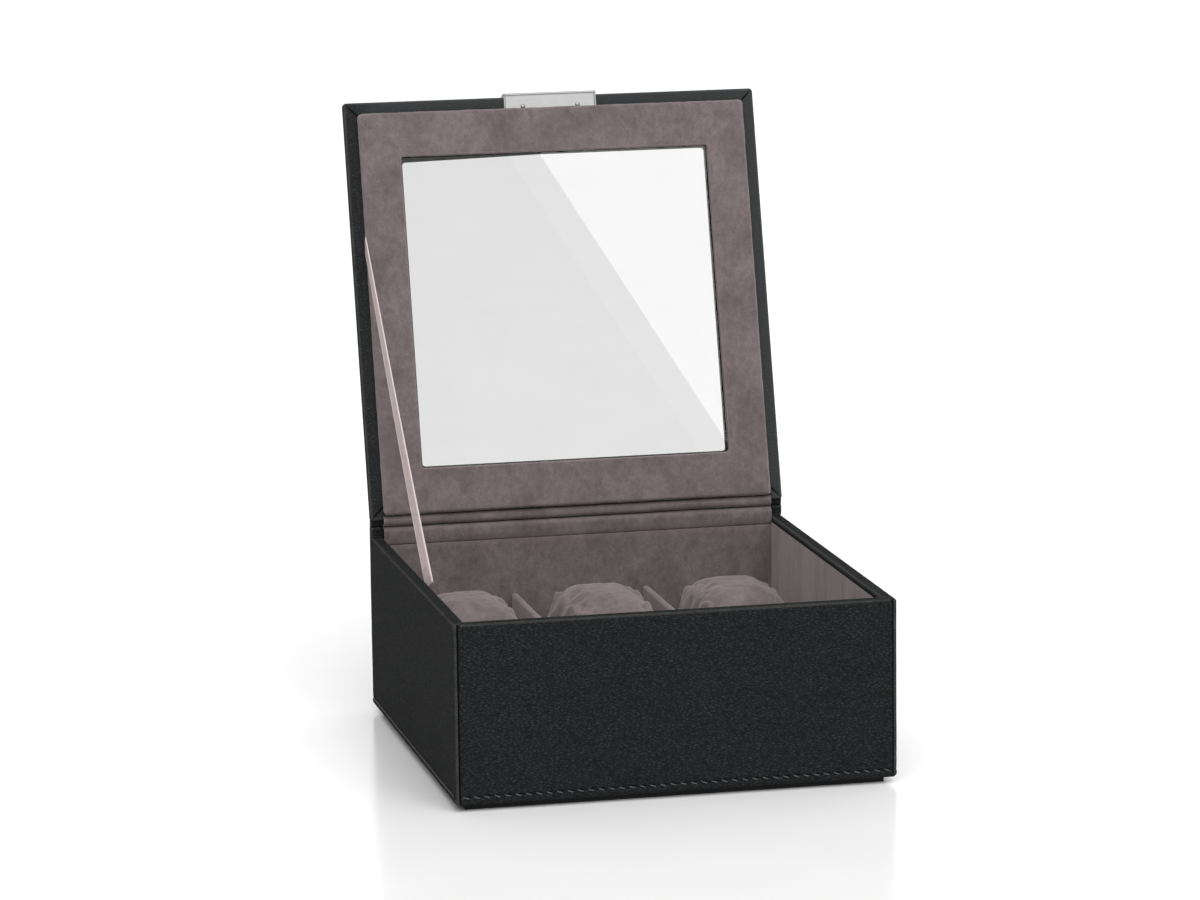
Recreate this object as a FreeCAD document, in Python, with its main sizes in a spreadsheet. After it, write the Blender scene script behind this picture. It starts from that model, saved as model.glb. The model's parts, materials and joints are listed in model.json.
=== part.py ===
import FreeCAD, Part
import math
import os
import Sketcher

# Watch box for six watches, in millimetres. The lid stands open against its stay ribbon.
# The origin is the centre of the underside: +X to the right along the front, +Y to the back, +Z up.
# Pieces of the lid are drawn in the lid's own axes, with the origin on the hinge line:
# X as above, Y up the lid from the hinge and Z from the outer face towards the inside.

os.makedirs("parts", exist_ok=True)
doc = FreeCAD.newDocument("WatchBox")

SIZES = [
    # the case
    ("case_width", 185.0, "over the leather of the side walls"),
    ("case_depth", 188.0, "over the leather of the front and rear walls"),
    ("wall_height", 75.2, "from the foot of the walls to their rim"),
    ("plinth_height", 2.5, "plinth board below the walls"),
    ("plinth_inset", 4.5, "plinth edge in from the walls"),
    ("leather_thickness", 0.8, "leather of the case and the lid"),
    ("board_thickness", 3.9, "boards of the case"),
    ("lining_thickness", 0.8, "suede lining of the case"),
    ("turn_in", 2.4, "leather folded down inside the rim"),
    ("corner_wrap", 1.5, "side leather folded round onto the front"),
    ("flange_width", 10.0, "leather folded in under the walls"),
    ("rear_drop", 3.4, "rear board and rear lining below the rim"),
    # the compartments
    ("columns", 3.0, "cushions side by side"),
    ("divider_thickness", 3.0, "lined divider boards"),
    ("divider_height", 42.0, "dividers above the floor"),
    ("halving_play", 0.1, "width to spare in the dividers' slots"),
    ("cushion_width", 51.0, "along X"),
    ("cushion_depth", 66.0, "along Y"),
    ("cushion_height", 51.0, "along Z"),
    ("cushion_round", 19.0, "radius that a watch strap bends around"),
    ("cushion_edge", 4.5, "radius of the two end seams"),
    ("free_gap", 0.3, "between pieces that move apart"),
    # the lid
    ("hinge_height", 5.0, "hinge line above the rim"),
    ("lid_opening", 105.4, "angle from closed to open"),
    ("lid_start", 1.5, "lid's rear edge from the hinge line"),
    ("lid_length", 185.2, "lid's front edge from the hinge line"),
    ("lid_board_thickness", 2.7, "frame board of the lid"),
    ("lid_turn_in", 14.0, "leather folded onto the inside of the lid"),
    ("window_width", 137.8, "window along X"),
    ("window_length", 137.0, "window up the lid"),
    ("window_start", 23.1, "window's rear edge from the hinge line"),
    ("glass_thickness", 2.0, "window pane"),
    ("glass_lap", 8.0, "pane under the panel, on each side"),
    ("panel_start", 3.5, "lining panel's rear edge from the hinge line"),
    ("panel_end", 179.8, "lining panel's front edge from the hinge line"),
    ("panel_board_thickness", 2.0, "backing board of the lining panel"),
    ("foam_thickness", 1.2, "foam between the backing board and the suede"),
    ("suede_thickness", 0.6, "suede of the lid"),
    ("panel_corner", 2.0, "radius of the panel's corners"),
    # the clip on the lid's front edge
    ("clip_width", 41.6, "along X"),
    ("clip_sheet", 0.4, "steel of the clip"),
    ("clip_lip", 1.5, "finger lip ahead of the lid"),
    ("clip_cover", 9.0, "plate on the outside of the lid"),
    ("rivet_spacing", 24.6, "between the two rivets"),
    ("rivet_inset", 1.1, "rivets ahead of the panel"),
    ("rivet_head", 1.0, "radius of a rivet's head"),
    ("rivet_shank", 0.5, "radius of a rivet's shank"),
    # ribbon, hinge strip and stitches
    ("ribbon_width", 6.0, "stay ribbon"),
    ("ribbon_thickness", 0.24, "stay ribbon"),
    ("ribbon_foot", -9.5, "ribbon leaves the left wall, along Y"),
    ("ribbon_sink", 1.3, "ribbon leaves the left wall, below the rim"),
    ("ribbon_reach", 124.0, "ribbon meets the lid, from the hinge line"),
    ("stitch_pitch", 4.3, "from stitch to stitch"),
    ("stitch_length", 3.2, "visible length of a stitch"),
    ("stitch_size", 0.4, "thread's height and how far it stands out"),
    ("stitch_height", 3.5, "row above the foot of the walls"),
]

sheet = doc.addObject("Spreadsheet::Sheet", "Sizes")
for row, (alias, number, note) in enumerate(SIZES, start=1):
    sheet.set(f"A{row}", alias)
    sheet.set(f"B{row}", str(number))
    sheet.set(f"C{row}", note)
    sheet.setAlias(f"B{row}", alias)
doc.recompute()


def size(alias):
    return float(sheet.get(alias))


def formula(text):
    """The text with each size's alias turned into a reference to its cell."""
    for alias, _, _ in SIZES:
        text = text.replace(f"[{alias}]", f"Sizes.{alias}")
    return text


def value(text):
    return float(sheet.evalExpression(formula(text)))


# Places that several pieces share, as formulas of the sheet's cells
HALF_WIDTH = "[case_width] / 2"
HALF_DEPTH = "[case_depth] / 2"
FOOT = "[plinth_height]"
RIM = "([plinth_height] + [wall_height])"
WALL = "([leather_thickness] + [board_thickness] + [lining_thickness])"
INNER_X = f"({HALF_WIDTH} - {WALL})"
INNER_Y = f"({HALF_DEPTH} - {WALL})"
BOARD_FOOT = f"({FOOT} + [leather_thickness])"
FLOOR = f"({BOARD_FOOT} + [board_thickness] + [lining_thickness])"
HINGE_Y = f"({HALF_DEPTH} - [leather_thickness] / 2)"
HINGE_Z = f"({RIM} + [hinge_height])"
LID_TILT = "(180 - [lid_opening])"
LID_THICKNESS = "([leather_thickness] * 2 + [lid_board_thickness])"
PANEL_HALF = f"({INNER_X} - [free_gap])"
PANEL_TOP = f"({LID_THICKNESS} + [panel_board_thickness] + [foam_thickness] + [suede_thickness])"
GLASS_FROM = "([leather_thickness] + [lid_board_thickness])"
GLASS_TO = f"({GLASS_FROM} + [glass_thickness])"

# How each plane of a body's origin carries a sketch, and so what a slab's thickness runs along
PLANES = {"flat": "XY_Plane", "profile": "YZ_Plane"}


def new_body(label, on_lid=False):
    body = doc.addObject("PartDesign::Body", label)
    body.Label = label
    if on_lid:
        body.Placement.Rotation = FreeCAD.Rotation(FreeCAD.Vector(1, 0, 0), value(LID_TILT))
        body.setExpression("Placement.Base.y", formula(HINGE_Y))
        body.setExpression("Placement.Base.z", formula(HINGE_Z))
        body.setExpression("Placement.Rotation.Angle", formula(f"{LID_TILT} * 1 deg"))
    return body


def box(body, low, high, cut=False):
    """A block between two corners, given as formulas, added to the body or cut from it."""
    kind = "PartDesign::SubtractiveBox" if cut else "PartDesign::AdditiveBox"
    block = body.newObject(kind, f"{body.Name}_block")
    for side, a, b in zip(("Length", "Width", "Height"), low, high):
        block.setExpression(side, formula(f"({b}) - ({a})"))
    for axis, a in zip("xyz", low):
        block.setExpression(f"Placement.Base.{axis}", formula(a))
    return block


def rectangle(left, right, near, far):
    return [(left, near), (right, near), (right, far), (left, far)]


def slab(body, outlines, start, thickness, plane="flat", cut=False):
    """A plate on one of the body's planes: the first outline, less any others, from start on."""
    sketch = body.newObject("Sketcher::SketchObject", f"{body.Name}_outline")
    carrier = [f for f in body.Origin.OriginFeatures if f.Role == PLANES[plane]]
    sketch.AttachmentSupport = [(carrier[0], "")]
    sketch.MapMode = "FlatFace"
    sketch.setExpression("AttachmentOffset.Base.z", formula(start))
    for outline in outlines:
        first = sketch.GeometryCount
        corners = [FreeCAD.Vector(value(a), value(b), 0) for a, b in outline]
        for here, there in zip(corners, corners[1:] + corners[:1]):
            sketch.addGeometry(Part.LineSegment(here, there))
        for n, (a, b) in enumerate(outline):
            edge = first + n
            after = first + (n + 1) % len(outline)
            sketch.addConstraint(Sketcher.Constraint("Coincident", edge, 2, after, 1))
            for kind, text, now in (("DistanceX", a, corners[n].x), ("DistanceY", b, corners[n].y)):
                held = sketch.addConstraint(Sketcher.Constraint(kind, -1, 1, edge, 1, now))
                sketch.setExpression(f"Constraints[{held}]", formula(text))
    doc.recompute()
    feature = body.newObject(f"PartDesign::{'Pocket' if cut else 'Pad'}", f"{body.Name}_plate")
    feature.Profile = sketch
    feature.setExpression("Length", formula(thickness))
    feature.Reversed = cut
    return feature


def round_edges(body, radius, chosen):
    """A fillet on the edges of the body that the test picks, by their middle and direction."""
    doc.recompute()
    tip = body.Tip
    names = []
    for n, edge in enumerate(tip.Shape.Edges, start=1):
        ends = edge.Vertexes
        along = (ends[-1].Point - ends[0].Point) if len(ends) > 1 else FreeCAD.Vector()
        if chosen(edge.CenterOfMass, along.normalize() if along.Length > 0 else along):
            names.append(f"Edge{n}")
    fillet = body.newObject("PartDesign::Fillet", f"{body.Name}_round")
    fillet.Base = (tip, names)
    fillet.setExpression("Radius", formula(radius))
    doc.recompute()
    return fillet


def bore(body, x, y, start, length, radius):
    """A round hole along the body's Z."""
    hole = body.newObject("PartDesign::SubtractiveCylinder", f"{body.Name}_hole")
    hole.setExpression("Radius", formula(radius))
    hole.setExpression("Height", formula(length))
    for axis, text in zip("xyz", (x, y, start)):
        hole.setExpression(f"Placement.Base.{axis}", formula(text))
    return hole


def on_lid_plane(up, depth):
    """Where a place on the open lid is in the case's own Y and Z, as formulas."""
    sine, cosine = f"sin({LID_TILT} * 1 deg)", f"cos({LID_TILT} * 1 deg)"
    return (
        f"{HINGE_Y} + ({up}) * {cosine} - ({depth}) * {sine}",
        f"{HINGE_Z} + ({up}) * {sine} + ({depth}) * {cosine}",
    )


def mirrored(low, high, side):
    """The corners of a block given for the right side, or those of its twin on the left."""
    if side > 0:
        return low, high
    return (f"-({high[0]})", *low[1:]), (f"-({low[0]})", *high[1:])


def base():
    plinth = new_body("base_plinth")
    x, y = f"{HALF_WIDTH} - [plinth_inset]", f"{HALF_DEPTH} - [plinth_inset]"
    box(plinth, (f"-({x})", f"-({y})", "0"), (x, y, FOOT))
    round_edges(plinth, "[plinth_height] * 0.8", lambda middle, along: abs(along.z) > 0.9)

    board = new_body("bottom_board")
    x, y = f"({INNER_X} + [lining_thickness])", f"({INNER_Y} + [lining_thickness])"
    low, high = (f"-{x}", f"-{y}", BOARD_FOOT), (x, y, f"{BOARD_FOOT} + [board_thickness]")
    box(board, low, high)

    lining = new_body("floor_lining")
    low = (f"-{INNER_X}", f"-{INNER_Y}", f"{FLOOR} - [lining_thickness]")
    box(lining, low, (INNER_X, INNER_Y, FLOOR))


def wall_boards():
    """Front board over the ends of the side boards; rear board lower, between them."""
    face = "[leather_thickness]"
    top = f"{RIM} - {face}"
    wide = f"({HALF_WIDTH} - {face})"
    inside_x = f"({INNER_X} + [lining_thickness])"
    inside_y = f"({INNER_Y} + [lining_thickness])"
    outside_y = f"({HALF_DEPTH} - {face})"
    front = new_body("front_wall_board")
    box(front, (f"-{wide}", f"-{outside_y}", BOARD_FOOT), (wide, f"-{inside_y}", top))
    rear = new_body("rear_wall_board")
    rear_top = f"{RIM} - [rear_drop]"
    box(rear, (f"-{inside_x}", inside_y, BOARD_FOOT), (inside_x, outside_y, rear_top))
    for side, name in ((-1, "left"), (1, "right")):
        body = new_body(f"{name}_wall_board")
        low, high = (inside_x, f"-{inside_y}", BOARD_FOOT), (wide, outside_y, top)
        box(body, *mirrored(low, high, side))


def wall_leathers():
    """Each leather goes up the outside, over the rim and down inside, and in under the wall."""
    face, lining = "[leather_thickness]", "[lining_thickness]"
    lip = f"{RIM} - {face}"
    seam = f"({HALF_WIDTH} - [corner_wrap])"
    wide = f"({HALF_WIDTH} - {face})"
    inside_x, inside_y = f"({INNER_X} + {lining})", f"({INNER_Y} + {lining})"
    outside_y = f"({HALF_DEPTH} - {face})"
    fold = f"{RIM} - [turn_in]"
    flange_y = f"({HALF_DEPTH} - [flange_width])"
    flange_x = f"({HALF_WIDTH} - [flange_width])"

    front = new_body("front_leather")
    box(front, (f"-{seam}", f"-({HALF_DEPTH})", FOOT), (seam, f"-{INNER_Y}", RIM))
    box(front, (f"-{seam}", f"-{outside_y}", BOARD_FOOT), (seam, f"-{inside_y}", lip), cut=True)
    low, high = (f"-{seam}", f"-{inside_y}", BOARD_FOOT), (seam, f"-{INNER_Y}", fold)
    box(front, low, high, cut=True)
    for side in (-1, 1):
        low, high = (inside_x, f"-{inside_y}", BOARD_FOOT), (seam, f"-{INNER_Y}", lip)
        box(front, *mirrored(low, high, side), cut=True)
    # the front and its two neighbours share the underside at the corners
    box(front, (f"-{flange_x}", f"-{inside_y}", FOOT), (flange_x, f"-{flange_y}", BOARD_FOOT))

    for side, name in ((-1, "left"), (1, "right")):
        body = new_body(f"{name}_leather")
        low, high = (INNER_X, f"-({HALF_DEPTH})", FOOT), (HALF_WIDTH, outside_y, RIM)
        box(body, *mirrored(low, high, side))
        cuts = [
            # the board, the lining below the fold, and the front corner that the front fills
            ((inside_x, f"-{inside_y}", BOARD_FOOT), (wide, outside_y, lip)),
            ((INNER_X, f"-{INNER_Y}", BOARD_FOOT), (inside_x, outside_y, fold)),
            ((INNER_X, f"-({HALF_DEPTH})", FOOT), (seam, f"-{INNER_Y}", RIM)),
            ((seam, f"-{outside_y}", BOARD_FOOT), (wide, f"-{inside_y}", lip)),
        ]
        for low, high in cuts:
            box(body, *mirrored(low, high, side), cut=True)
        low, high = (flange_x, f"-{flange_y}", FOOT), (inside_x, flange_y, BOARD_FOOT)
        box(body, *mirrored(low, high, side))

    rear = new_body("rear_leather")
    box(rear, (f"-{HALF_WIDTH}", outside_y, FOOT), (HALF_WIDTH, HALF_DEPTH, RIM))
    box(rear, (f"-{flange_x}", flange_y, FOOT), (flange_x, outside_y, BOARD_FOOT))


def wall_linings():
    foot = f"{FLOOR} - [lining_thickness]"
    top, rear_top = f"{RIM} - [turn_in]", f"{RIM} - [rear_drop]"
    outer_x, outer_y = f"({INNER_X} + [lining_thickness])", f"({INNER_Y} + [lining_thickness])"
    front = new_body("front_lining")
    box(front, (f"-{outer_x}", f"-{outer_y}", foot), (outer_x, f"-{INNER_Y}", top))
    rear = new_body("rear_lining")
    box(rear, (f"-{INNER_X}", INNER_Y, foot), (INNER_X, outer_y, rear_top))
    for side, name in ((-1, "left"), (1, "right")):
        body = new_body(f"{name}_lining")
        box(body, *mirrored((INNER_X, f"-{INNER_Y}", foot), (outer_x, outer_y, top), side))


CELL_WIDTH = f"((2 * {INNER_X} - ([columns] - 1) * [divider_thickness]) / [columns])"
CELL_DEPTH = f"({INNER_Y} - [divider_thickness] / 2)"
DIVIDER_TOP = f"({FLOOR} + [divider_height])"


def dividers():
    """One divider between the rows and two between the columns, halved into each other."""
    middle = f"({FLOOR} + [divider_height] / 2)"
    half = "([divider_thickness] / 2)"
    slot = "(([divider_thickness] + [halving_play]) / 2)"
    from_middle = f"(({CELL_WIDTH} + [divider_thickness]) / 2)"
    rows = new_body("row_divider")
    box(rows, (f"-{INNER_X}", f"-{half}", FLOOR), (INNER_X, half, DIVIDER_TOP))
    for side, name in ((-1, "left"), (1, "right")):
        low = (f"{from_middle} - {slot}", f"-{half}", FLOOR)
        high = (f"{from_middle} + {slot}", half, middle)
        box(rows, *mirrored(low, high, side), cut=True)
        body = new_body(f"{name}_column_divider")
        low = (f"{from_middle} - {half}", f"-{INNER_Y}", FLOOR)
        high = (f"{from_middle} + {half}", INNER_Y, DIVIDER_TOP)
        box(body, *mirrored(low, high, side))
        low = (f"{from_middle} - {half}", f"-{slot}", middle)
        high = (f"{from_middle} + {half}", slot, DIVIDER_TOP)
        box(body, *mirrored(low, high, side), cut=True)


def cushions():
    """A soft block in each compartment, standing clear of the dividers for the watch straps."""
    side = {-1: "left", 0: "middle", 1: "right"}
    half_x, half_y = "[cushion_width] / 2", "[cushion_depth] / 2"
    for row, place in ((-1, "front"), (1, "rear")):
        for column, name in side.items():
            body = new_body(f"cushion_{place}_{name}")
            low = (f"-{half_x}", f"-{half_y}", "0")
            box(body, low, (half_x, half_y, "[cushion_height]"))
            pitch = f"({CELL_WIDTH} + [divider_thickness])"
            shift = f"(({CELL_DEPTH} + [divider_thickness]) / 2)"
            body.setExpression("Placement.Base.x", formula(f"{column} * {pitch}"))
            body.setExpression("Placement.Base.y", formula(f"{row} * {shift}"))
            body.setExpression("Placement.Base.z", formula(f"{FLOOR} + [free_gap]"))
            round_edges(body, "[cushion_round]", lambda middle, along: abs(along.x) > 0.9)
            end = value(half_x)
            round_edges(body, "[cushion_edge]", lambda middle, along: abs(abs(middle.x) - end) < 0.1)


LID_OUTLINE = rectangle(f"-{HALF_WIDTH}", HALF_WIDTH, "[lid_start]", "[lid_length]")
PANEL = rectangle(f"-{PANEL_HALF}", PANEL_HALF, "[panel_start]", "[panel_end]")


def window(extra="0"):
    """The window's outline, or one that is larger by extra on each side."""
    half = f"([window_width] / 2 + {extra})"
    near, far = f"[window_start] - {extra}", f"[window_start] + [window_length] + {extra}"
    return rectangle(f"-{half}", half, near, far)


def inset(outline, by):
    """A rectangle drawn in on each side."""
    (left, near), _, (right, far), _ = outline
    return rectangle(f"{left} + {by}", f"{right} - {by}", f"{near} + {by}", f"{far} - {by}")


def corner_edges(outline):
    """A test for the upright edges at the four corners of an outline."""
    places = [(value(a), value(b)) for a, b in outline]

    def chosen(middle, along):
        near = any(math.hypot(middle.x - x, middle.y - y) < 0.05 for x, y in places)
        return near and abs(along.z) > 0.9

    return chosen


def rivet_places():
    return [(f"{side} * [rivet_spacing] / 2", "[panel_end] + [rivet_inset]") for side in (-1, 1)]


def lid_shell():
    thin = "[leather_thickness]"
    board = new_body("lid_board", on_lid=True)
    slab(board, [inset(LID_OUTLINE, thin), window(thin)], thin, "[lid_board_thickness]")

    leather = new_body("lid_leather", on_lid=True)
    slab(leather, [LID_OUTLINE, window()], "0", thin)
    slab(leather, [LID_OUTLINE, inset(LID_OUTLINE, thin)], thin, "[lid_board_thickness]")
    slab(leather, [window(thin), window()], thin, "[lid_board_thickness]")
    inner = f"({HALF_WIDTH} - [lid_turn_in])"
    far = "[lid_length] - [lid_turn_in]"
    opening = rectangle(f"-{inner}", inner, f"[lid_start] + 2 * {thin}", far)
    slab(leather, [LID_OUTLINE, opening], GLASS_FROM, thin)
    for x, y in rivet_places():
        bore(board, x, y, thin, "[lid_board_thickness]", "[rivet_shank]")
        bore(leather, x, y, GLASS_FROM, thin, "[rivet_shank]")

    glass = new_body("window_glass", on_lid=True)
    slab(glass, [window("[glass_lap]")], GLASS_FROM, "[glass_thickness]")


def lid_panel():
    """The padded frame on the inside of the lid, which also holds the pane in place."""
    suede = "[suede_thickness]"
    ring = [inset(PANEL, suede), window(suede)]
    play = "([glass_lap] + 0.2)"
    board = new_body("panel_board", on_lid=True)
    slab(board, ring, LID_THICKNESS, "[panel_board_thickness]")
    (left, near), _, (right, far), _ = window(play)
    box(board, (left, near, LID_THICKNESS), (right, far, GLASS_TO), cut=True)

    foam_from = f"({LID_THICKNESS} + [panel_board_thickness])"
    suede_from = f"({foam_from} + [foam_thickness])"
    foam = new_body("panel_foam", on_lid=True)
    slab(foam, ring, foam_from, "[foam_thickness]")

    cover = new_body("lid_lining", on_lid=True)
    slab(cover, [PANEL, window()], suede_from, suede)
    slab(cover, [PANEL, inset(PANEL, suede)], LID_THICKNESS, f"{suede_from} - {LID_THICKNESS}")
    slab(cover, [window(suede), window()], GLASS_TO, f"{suede_from} - {GLASS_TO}")
    round_edges(cover, "[panel_corner] / 2", corner_edges(PANEL))
    top, half, ends = value(PANEL_TOP), value(PANEL_HALF), (size("panel_start"), size("panel_end"))

    def outer_top(middle, along):
        at_side = abs(abs(middle.x) - half) < 0.05
        at_end = min(abs(middle.y - ends[0]), abs(middle.y - ends[1])) < 0.05
        return abs(middle.z - top) < 0.05 and (at_side or at_end)

    round_edges(cover, f"{suede} * 1.5", outer_top)


def clip():
    """A steel channel over the lid's front edge, with a finger lip, held by two rivets."""
    half = "[clip_width] / 2"
    sheet_out = "-[clip_sheet]"
    inside = LID_THICKNESS
    sheet_in = f"{inside} + [clip_sheet]"
    lip, edge = "[lid_length] + [clip_lip]", "[lid_length]"
    back, panel = "[lid_length] - [clip_cover]", "[panel_end] + 0.02"
    body = new_body("lid_clip", on_lid=True)
    outline = [
        (back, sheet_out),
        (lip, sheet_out),
        (lip, sheet_in),
        (panel, sheet_in),
        (panel, inside),
        (edge, inside),
        (edge, "0"),
        (back, "0"),
    ]
    slab(body, [outline], f"-{half}", "[clip_width]", plane="profile")
    for x, y in rivet_places():
        bore(body, x, y, inside, "[clip_sheet]", "[rivet_shank]")
    front = value(lip)
    round_edges(body, "[clip_sheet]", lambda middle, along: abs(middle.y - front) < 0.01)

    head, shank = size("rivet_head"), size("rivet_shank")
    under, tip = value(sheet_in), value("[leather_thickness]")
    rivets = []
    for x, y in rivet_places():
        foot = FreeCAD.Vector(value(x), value(y), tip)
        seat = FreeCAD.Vector(value(x), value(y), under)
        stem = Part.makeCylinder(shank, under - tip, foot)
        # the dome is the cap of a ball, as high as 0.6 of its radius at the seat
        rise = 0.6 * head
        ball = (head**2 + rise**2) / (2 * rise)
        dome = Part.makeSphere(ball, seat + FreeCAD.Vector(0, 0, rise - ball))
        dome = dome.common(Part.makeCylinder(head, rise, seat))
        rivets.append(stem.fuse(dome).removeSplitter())
    group = doc.addObject("Part::Feature", "clip_rivets")
    group.Label = "clip_rivets"
    group.Shape = Part.makeCompound([solid for rivet in rivets for solid in rivet.Solids])
    tilt = FreeCAD.Rotation(FreeCAD.Vector(1, 0, 0), value(LID_TILT))
    group.Placement = FreeCAD.Placement(FreeCAD.Vector(0, value(HINGE_Y), value(HINGE_Z)), tilt)


def hinge():
    """The leather bends on the hinge line, and a suede strip covers it from inside."""
    thin = "[leather_thickness]"
    inner_y = f"{HALF_DEPTH} - {thin}"
    bend = f"{RIM} + [hinge_height] - {thin} / 2"
    end = "[lid_start] - 0.2"
    leather = new_body("hinge_leather")
    outline = [
        (HALF_DEPTH, RIM),
        (HALF_DEPTH, bend),
        on_lid_plane(end, "0"),
        on_lid_plane(end, thin),
        (inner_y, bend),
        (inner_y, RIM),
    ]
    slab(leather, [outline], f"-{HALF_WIDTH}", "[case_width]", plane="profile")

    strip = "[suede_thickness]"
    over = f"{LID_THICKNESS} + 0.1"
    seat = f"{RIM} - [rear_drop]"
    lining = new_body("hinge_lining")
    front = [
        (f"{INNER_Y} + 0.1", seat),
        (f"{INNER_Y} - 0.4", f"{RIM} - 1"),
        (f"{INNER_Y} - 0.2", f"{RIM} + 2"),
        (f"{INNER_Y} + 1.6", f"{RIM} + 4.4"),
        on_lid_plane("0.8", f"{over} + {strip}"),
        on_lid_plane("[panel_start] - 0.2", f"{over} + {strip}"),
    ]
    back = [
        on_lid_plane("[panel_start] - 0.2", over),
        on_lid_plane("1.3", over),
        (f"{INNER_Y} + 2.4", f"{RIM} + 4.4"),
        (f"{INNER_Y} + 0.5", f"{RIM} + 1.8"),
        (f"{INNER_Y} + 0.3", f"{RIM} - 1"),
        (f"{INNER_Y} + [lining_thickness]", seat),
    ]
    width = f"(2 * {INNER_X} - 0.2)"
    slab(lining, [front + back], f"-{width} / 2", width, plane="profile")


def stay_ribbon():
    """A flat ribbon, pulled tight between the left wall and the lid's left edge."""
    foot_y, foot_z = "[ribbon_foot]", f"({RIM} - [ribbon_sink])"
    depth = f"{LID_THICKNESS} + 0.1"
    head_y, head_z = on_lid_plane("[ribbon_reach]", depth)
    lean = f"atan(({head_z} - {foot_z}) / ({head_y} - {foot_y}))"
    # both ends are cut on the slant, one along the rim and one along the lid
    at_wall = f"[ribbon_width] / 2 / sin({lean})"
    at_lid = f"[ribbon_width] / 2 / sin({LID_TILT} * 1 deg - {lean})"
    outline = [
        (f"{foot_y} - {at_wall}", foot_z),
        (f"{foot_y} + {at_wall}", foot_z),
        on_lid_plane(f"[ribbon_reach] - {at_lid}", depth),
        on_lid_plane(f"[ribbon_reach] + {at_lid}", depth),
    ]
    body = new_body("stay_ribbon")
    middle = f"-({INNER_X} + {PANEL_HALF}) / 2"
    slab(body, [outline], f"{middle} - [ribbon_thickness] / 2", "[ribbon_thickness]", plane="profile")
    run = value(head_y) - value(foot_y), value(head_z) - value(foot_z)
    print(f"stay ribbon: {math.hypot(*run):.1f} long, straight, {size('ribbon_width')} wide")


def stitching():
    """A row of short stitches round the foot of the walls, all in one group."""
    pitch, length, thread = size("stitch_pitch"), size("stitch_length"), size("stitch_size")
    z = value(FOOT) + size("stitch_height") - thread / 2
    half_x, half_y = value(HALF_WIDTH), value(HALF_DEPTH)
    stitches = []
    for along_x, half, face in ((True, half_x, half_y), (False, half_y, half_x)):
        count = int((2 * half - pitch) // pitch)
        for n in range(count):
            start = (n - (count - 1) / 2) * pitch - length / 2
            for low in (-face - thread, face):
                corner = (start, low, z) if along_x else (low, start, z)
                sides = (length, thread, thread) if along_x else (thread, length, thread)
                stitches.append(Part.makeBox(*sides, FreeCAD.Vector(*corner)))
    group = doc.addObject("Part::Feature", "wall_stitching")
    group.Label = "wall_stitching"
    group.Shape = Part.makeCompound(stitches)


base()
wall_boards()
wall_leathers()
wall_linings()
dividers()
cushions()
lid_shell()
lid_panel()
clip()
hinge()
stay_ribbon()
stitching()
doc.recompute()

for item in doc.Objects:
    if {"Invalid", "Error"} & set(item.State):
        raise RuntimeError(f"{item.Label} did not recompute: {item.State}")

pieces = [p for p in doc.Objects if p.TypeId in ("PartDesign::Body", "Part::Feature")]
for piece in pieces:
    shape = piece.Shape
    if shape.isNull() or not shape.isValid() or not shape.Solids:
        raise RuntimeError(f"{piece.Label} has no valid solid")
for piece in pieces:
    piece.Shape.exportStep(f"parts/{piece.Label}.step")
    print(f"{piece.Label}: {len(piece.Shape.Solids)} solid(s), {piece.Shape.Volume:.0f} mm3")
print(f"{len(pieces)} nodes")
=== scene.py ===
import json
import math
import random

import bmesh
import bpy
import numpy as np
from mathutils import Matrix, Vector, noise


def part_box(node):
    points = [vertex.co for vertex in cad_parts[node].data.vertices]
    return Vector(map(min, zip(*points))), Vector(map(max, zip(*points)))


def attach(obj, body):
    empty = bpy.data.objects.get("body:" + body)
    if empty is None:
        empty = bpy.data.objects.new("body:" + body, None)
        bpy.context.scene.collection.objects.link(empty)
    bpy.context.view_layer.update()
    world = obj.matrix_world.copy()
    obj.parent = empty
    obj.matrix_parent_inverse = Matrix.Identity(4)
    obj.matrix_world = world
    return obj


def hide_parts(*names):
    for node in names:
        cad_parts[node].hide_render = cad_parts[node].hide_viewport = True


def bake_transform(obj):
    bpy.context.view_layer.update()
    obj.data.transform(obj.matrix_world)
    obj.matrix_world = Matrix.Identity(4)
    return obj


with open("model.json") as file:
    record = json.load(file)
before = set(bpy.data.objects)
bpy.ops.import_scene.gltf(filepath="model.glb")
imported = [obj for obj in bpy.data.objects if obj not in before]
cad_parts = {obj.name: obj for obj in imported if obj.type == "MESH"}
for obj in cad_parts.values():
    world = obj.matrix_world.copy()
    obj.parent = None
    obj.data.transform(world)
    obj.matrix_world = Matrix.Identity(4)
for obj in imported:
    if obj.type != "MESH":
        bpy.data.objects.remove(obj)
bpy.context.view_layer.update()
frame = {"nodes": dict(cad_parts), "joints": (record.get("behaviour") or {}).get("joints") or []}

# Watch box. Lengths in this script are in millimetres, and become metres in new_piece().
MM = 0.001

# ---- sizes

LEATHER = 0.8            # thickness of the leather
SUEDE = 0.6              # thickness of the lid's suede
FOOT_ROUND = 2.2         # leather round the foot of the walls
RIM_ROUND = 1.3          # leather over the outer edge of the rim
RIM_INNER_ROUND = 1.0    # leather over the inner edge of the rim
CORNER_ROUND = 1.5       # side leather round the front corners, which is also how far it wraps
REAR_ROUND = 0.8         # rear leather round the rear corners
SEAM_ROUND = 0.65        # leather edge folded under at a seam
SEAM_GAP = 0.04          # half of the gap left in a seam
SEAM_SHADE = 1.7         # width of the painted shade beside a seam
FOLD_SHADE = 2.0         # width of the painted shade beside a fold of the hinge strip
FLANGE = 10.0            # leather turned in under a wall
TURN_IN_DEPTH = 5.5      # from the outside of a wall to the inside of its turned-in leather
LID_EDGE_ROUND = 1.2     # leather over the edge of the lid
LID_CORNER_ROUND = 1.6   # corners of the lid
WINDOW_ROUND = 1.4       # corners of the window
LID_TURN_IN = 14.0       # leather turned in on the inside of the lid
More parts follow.
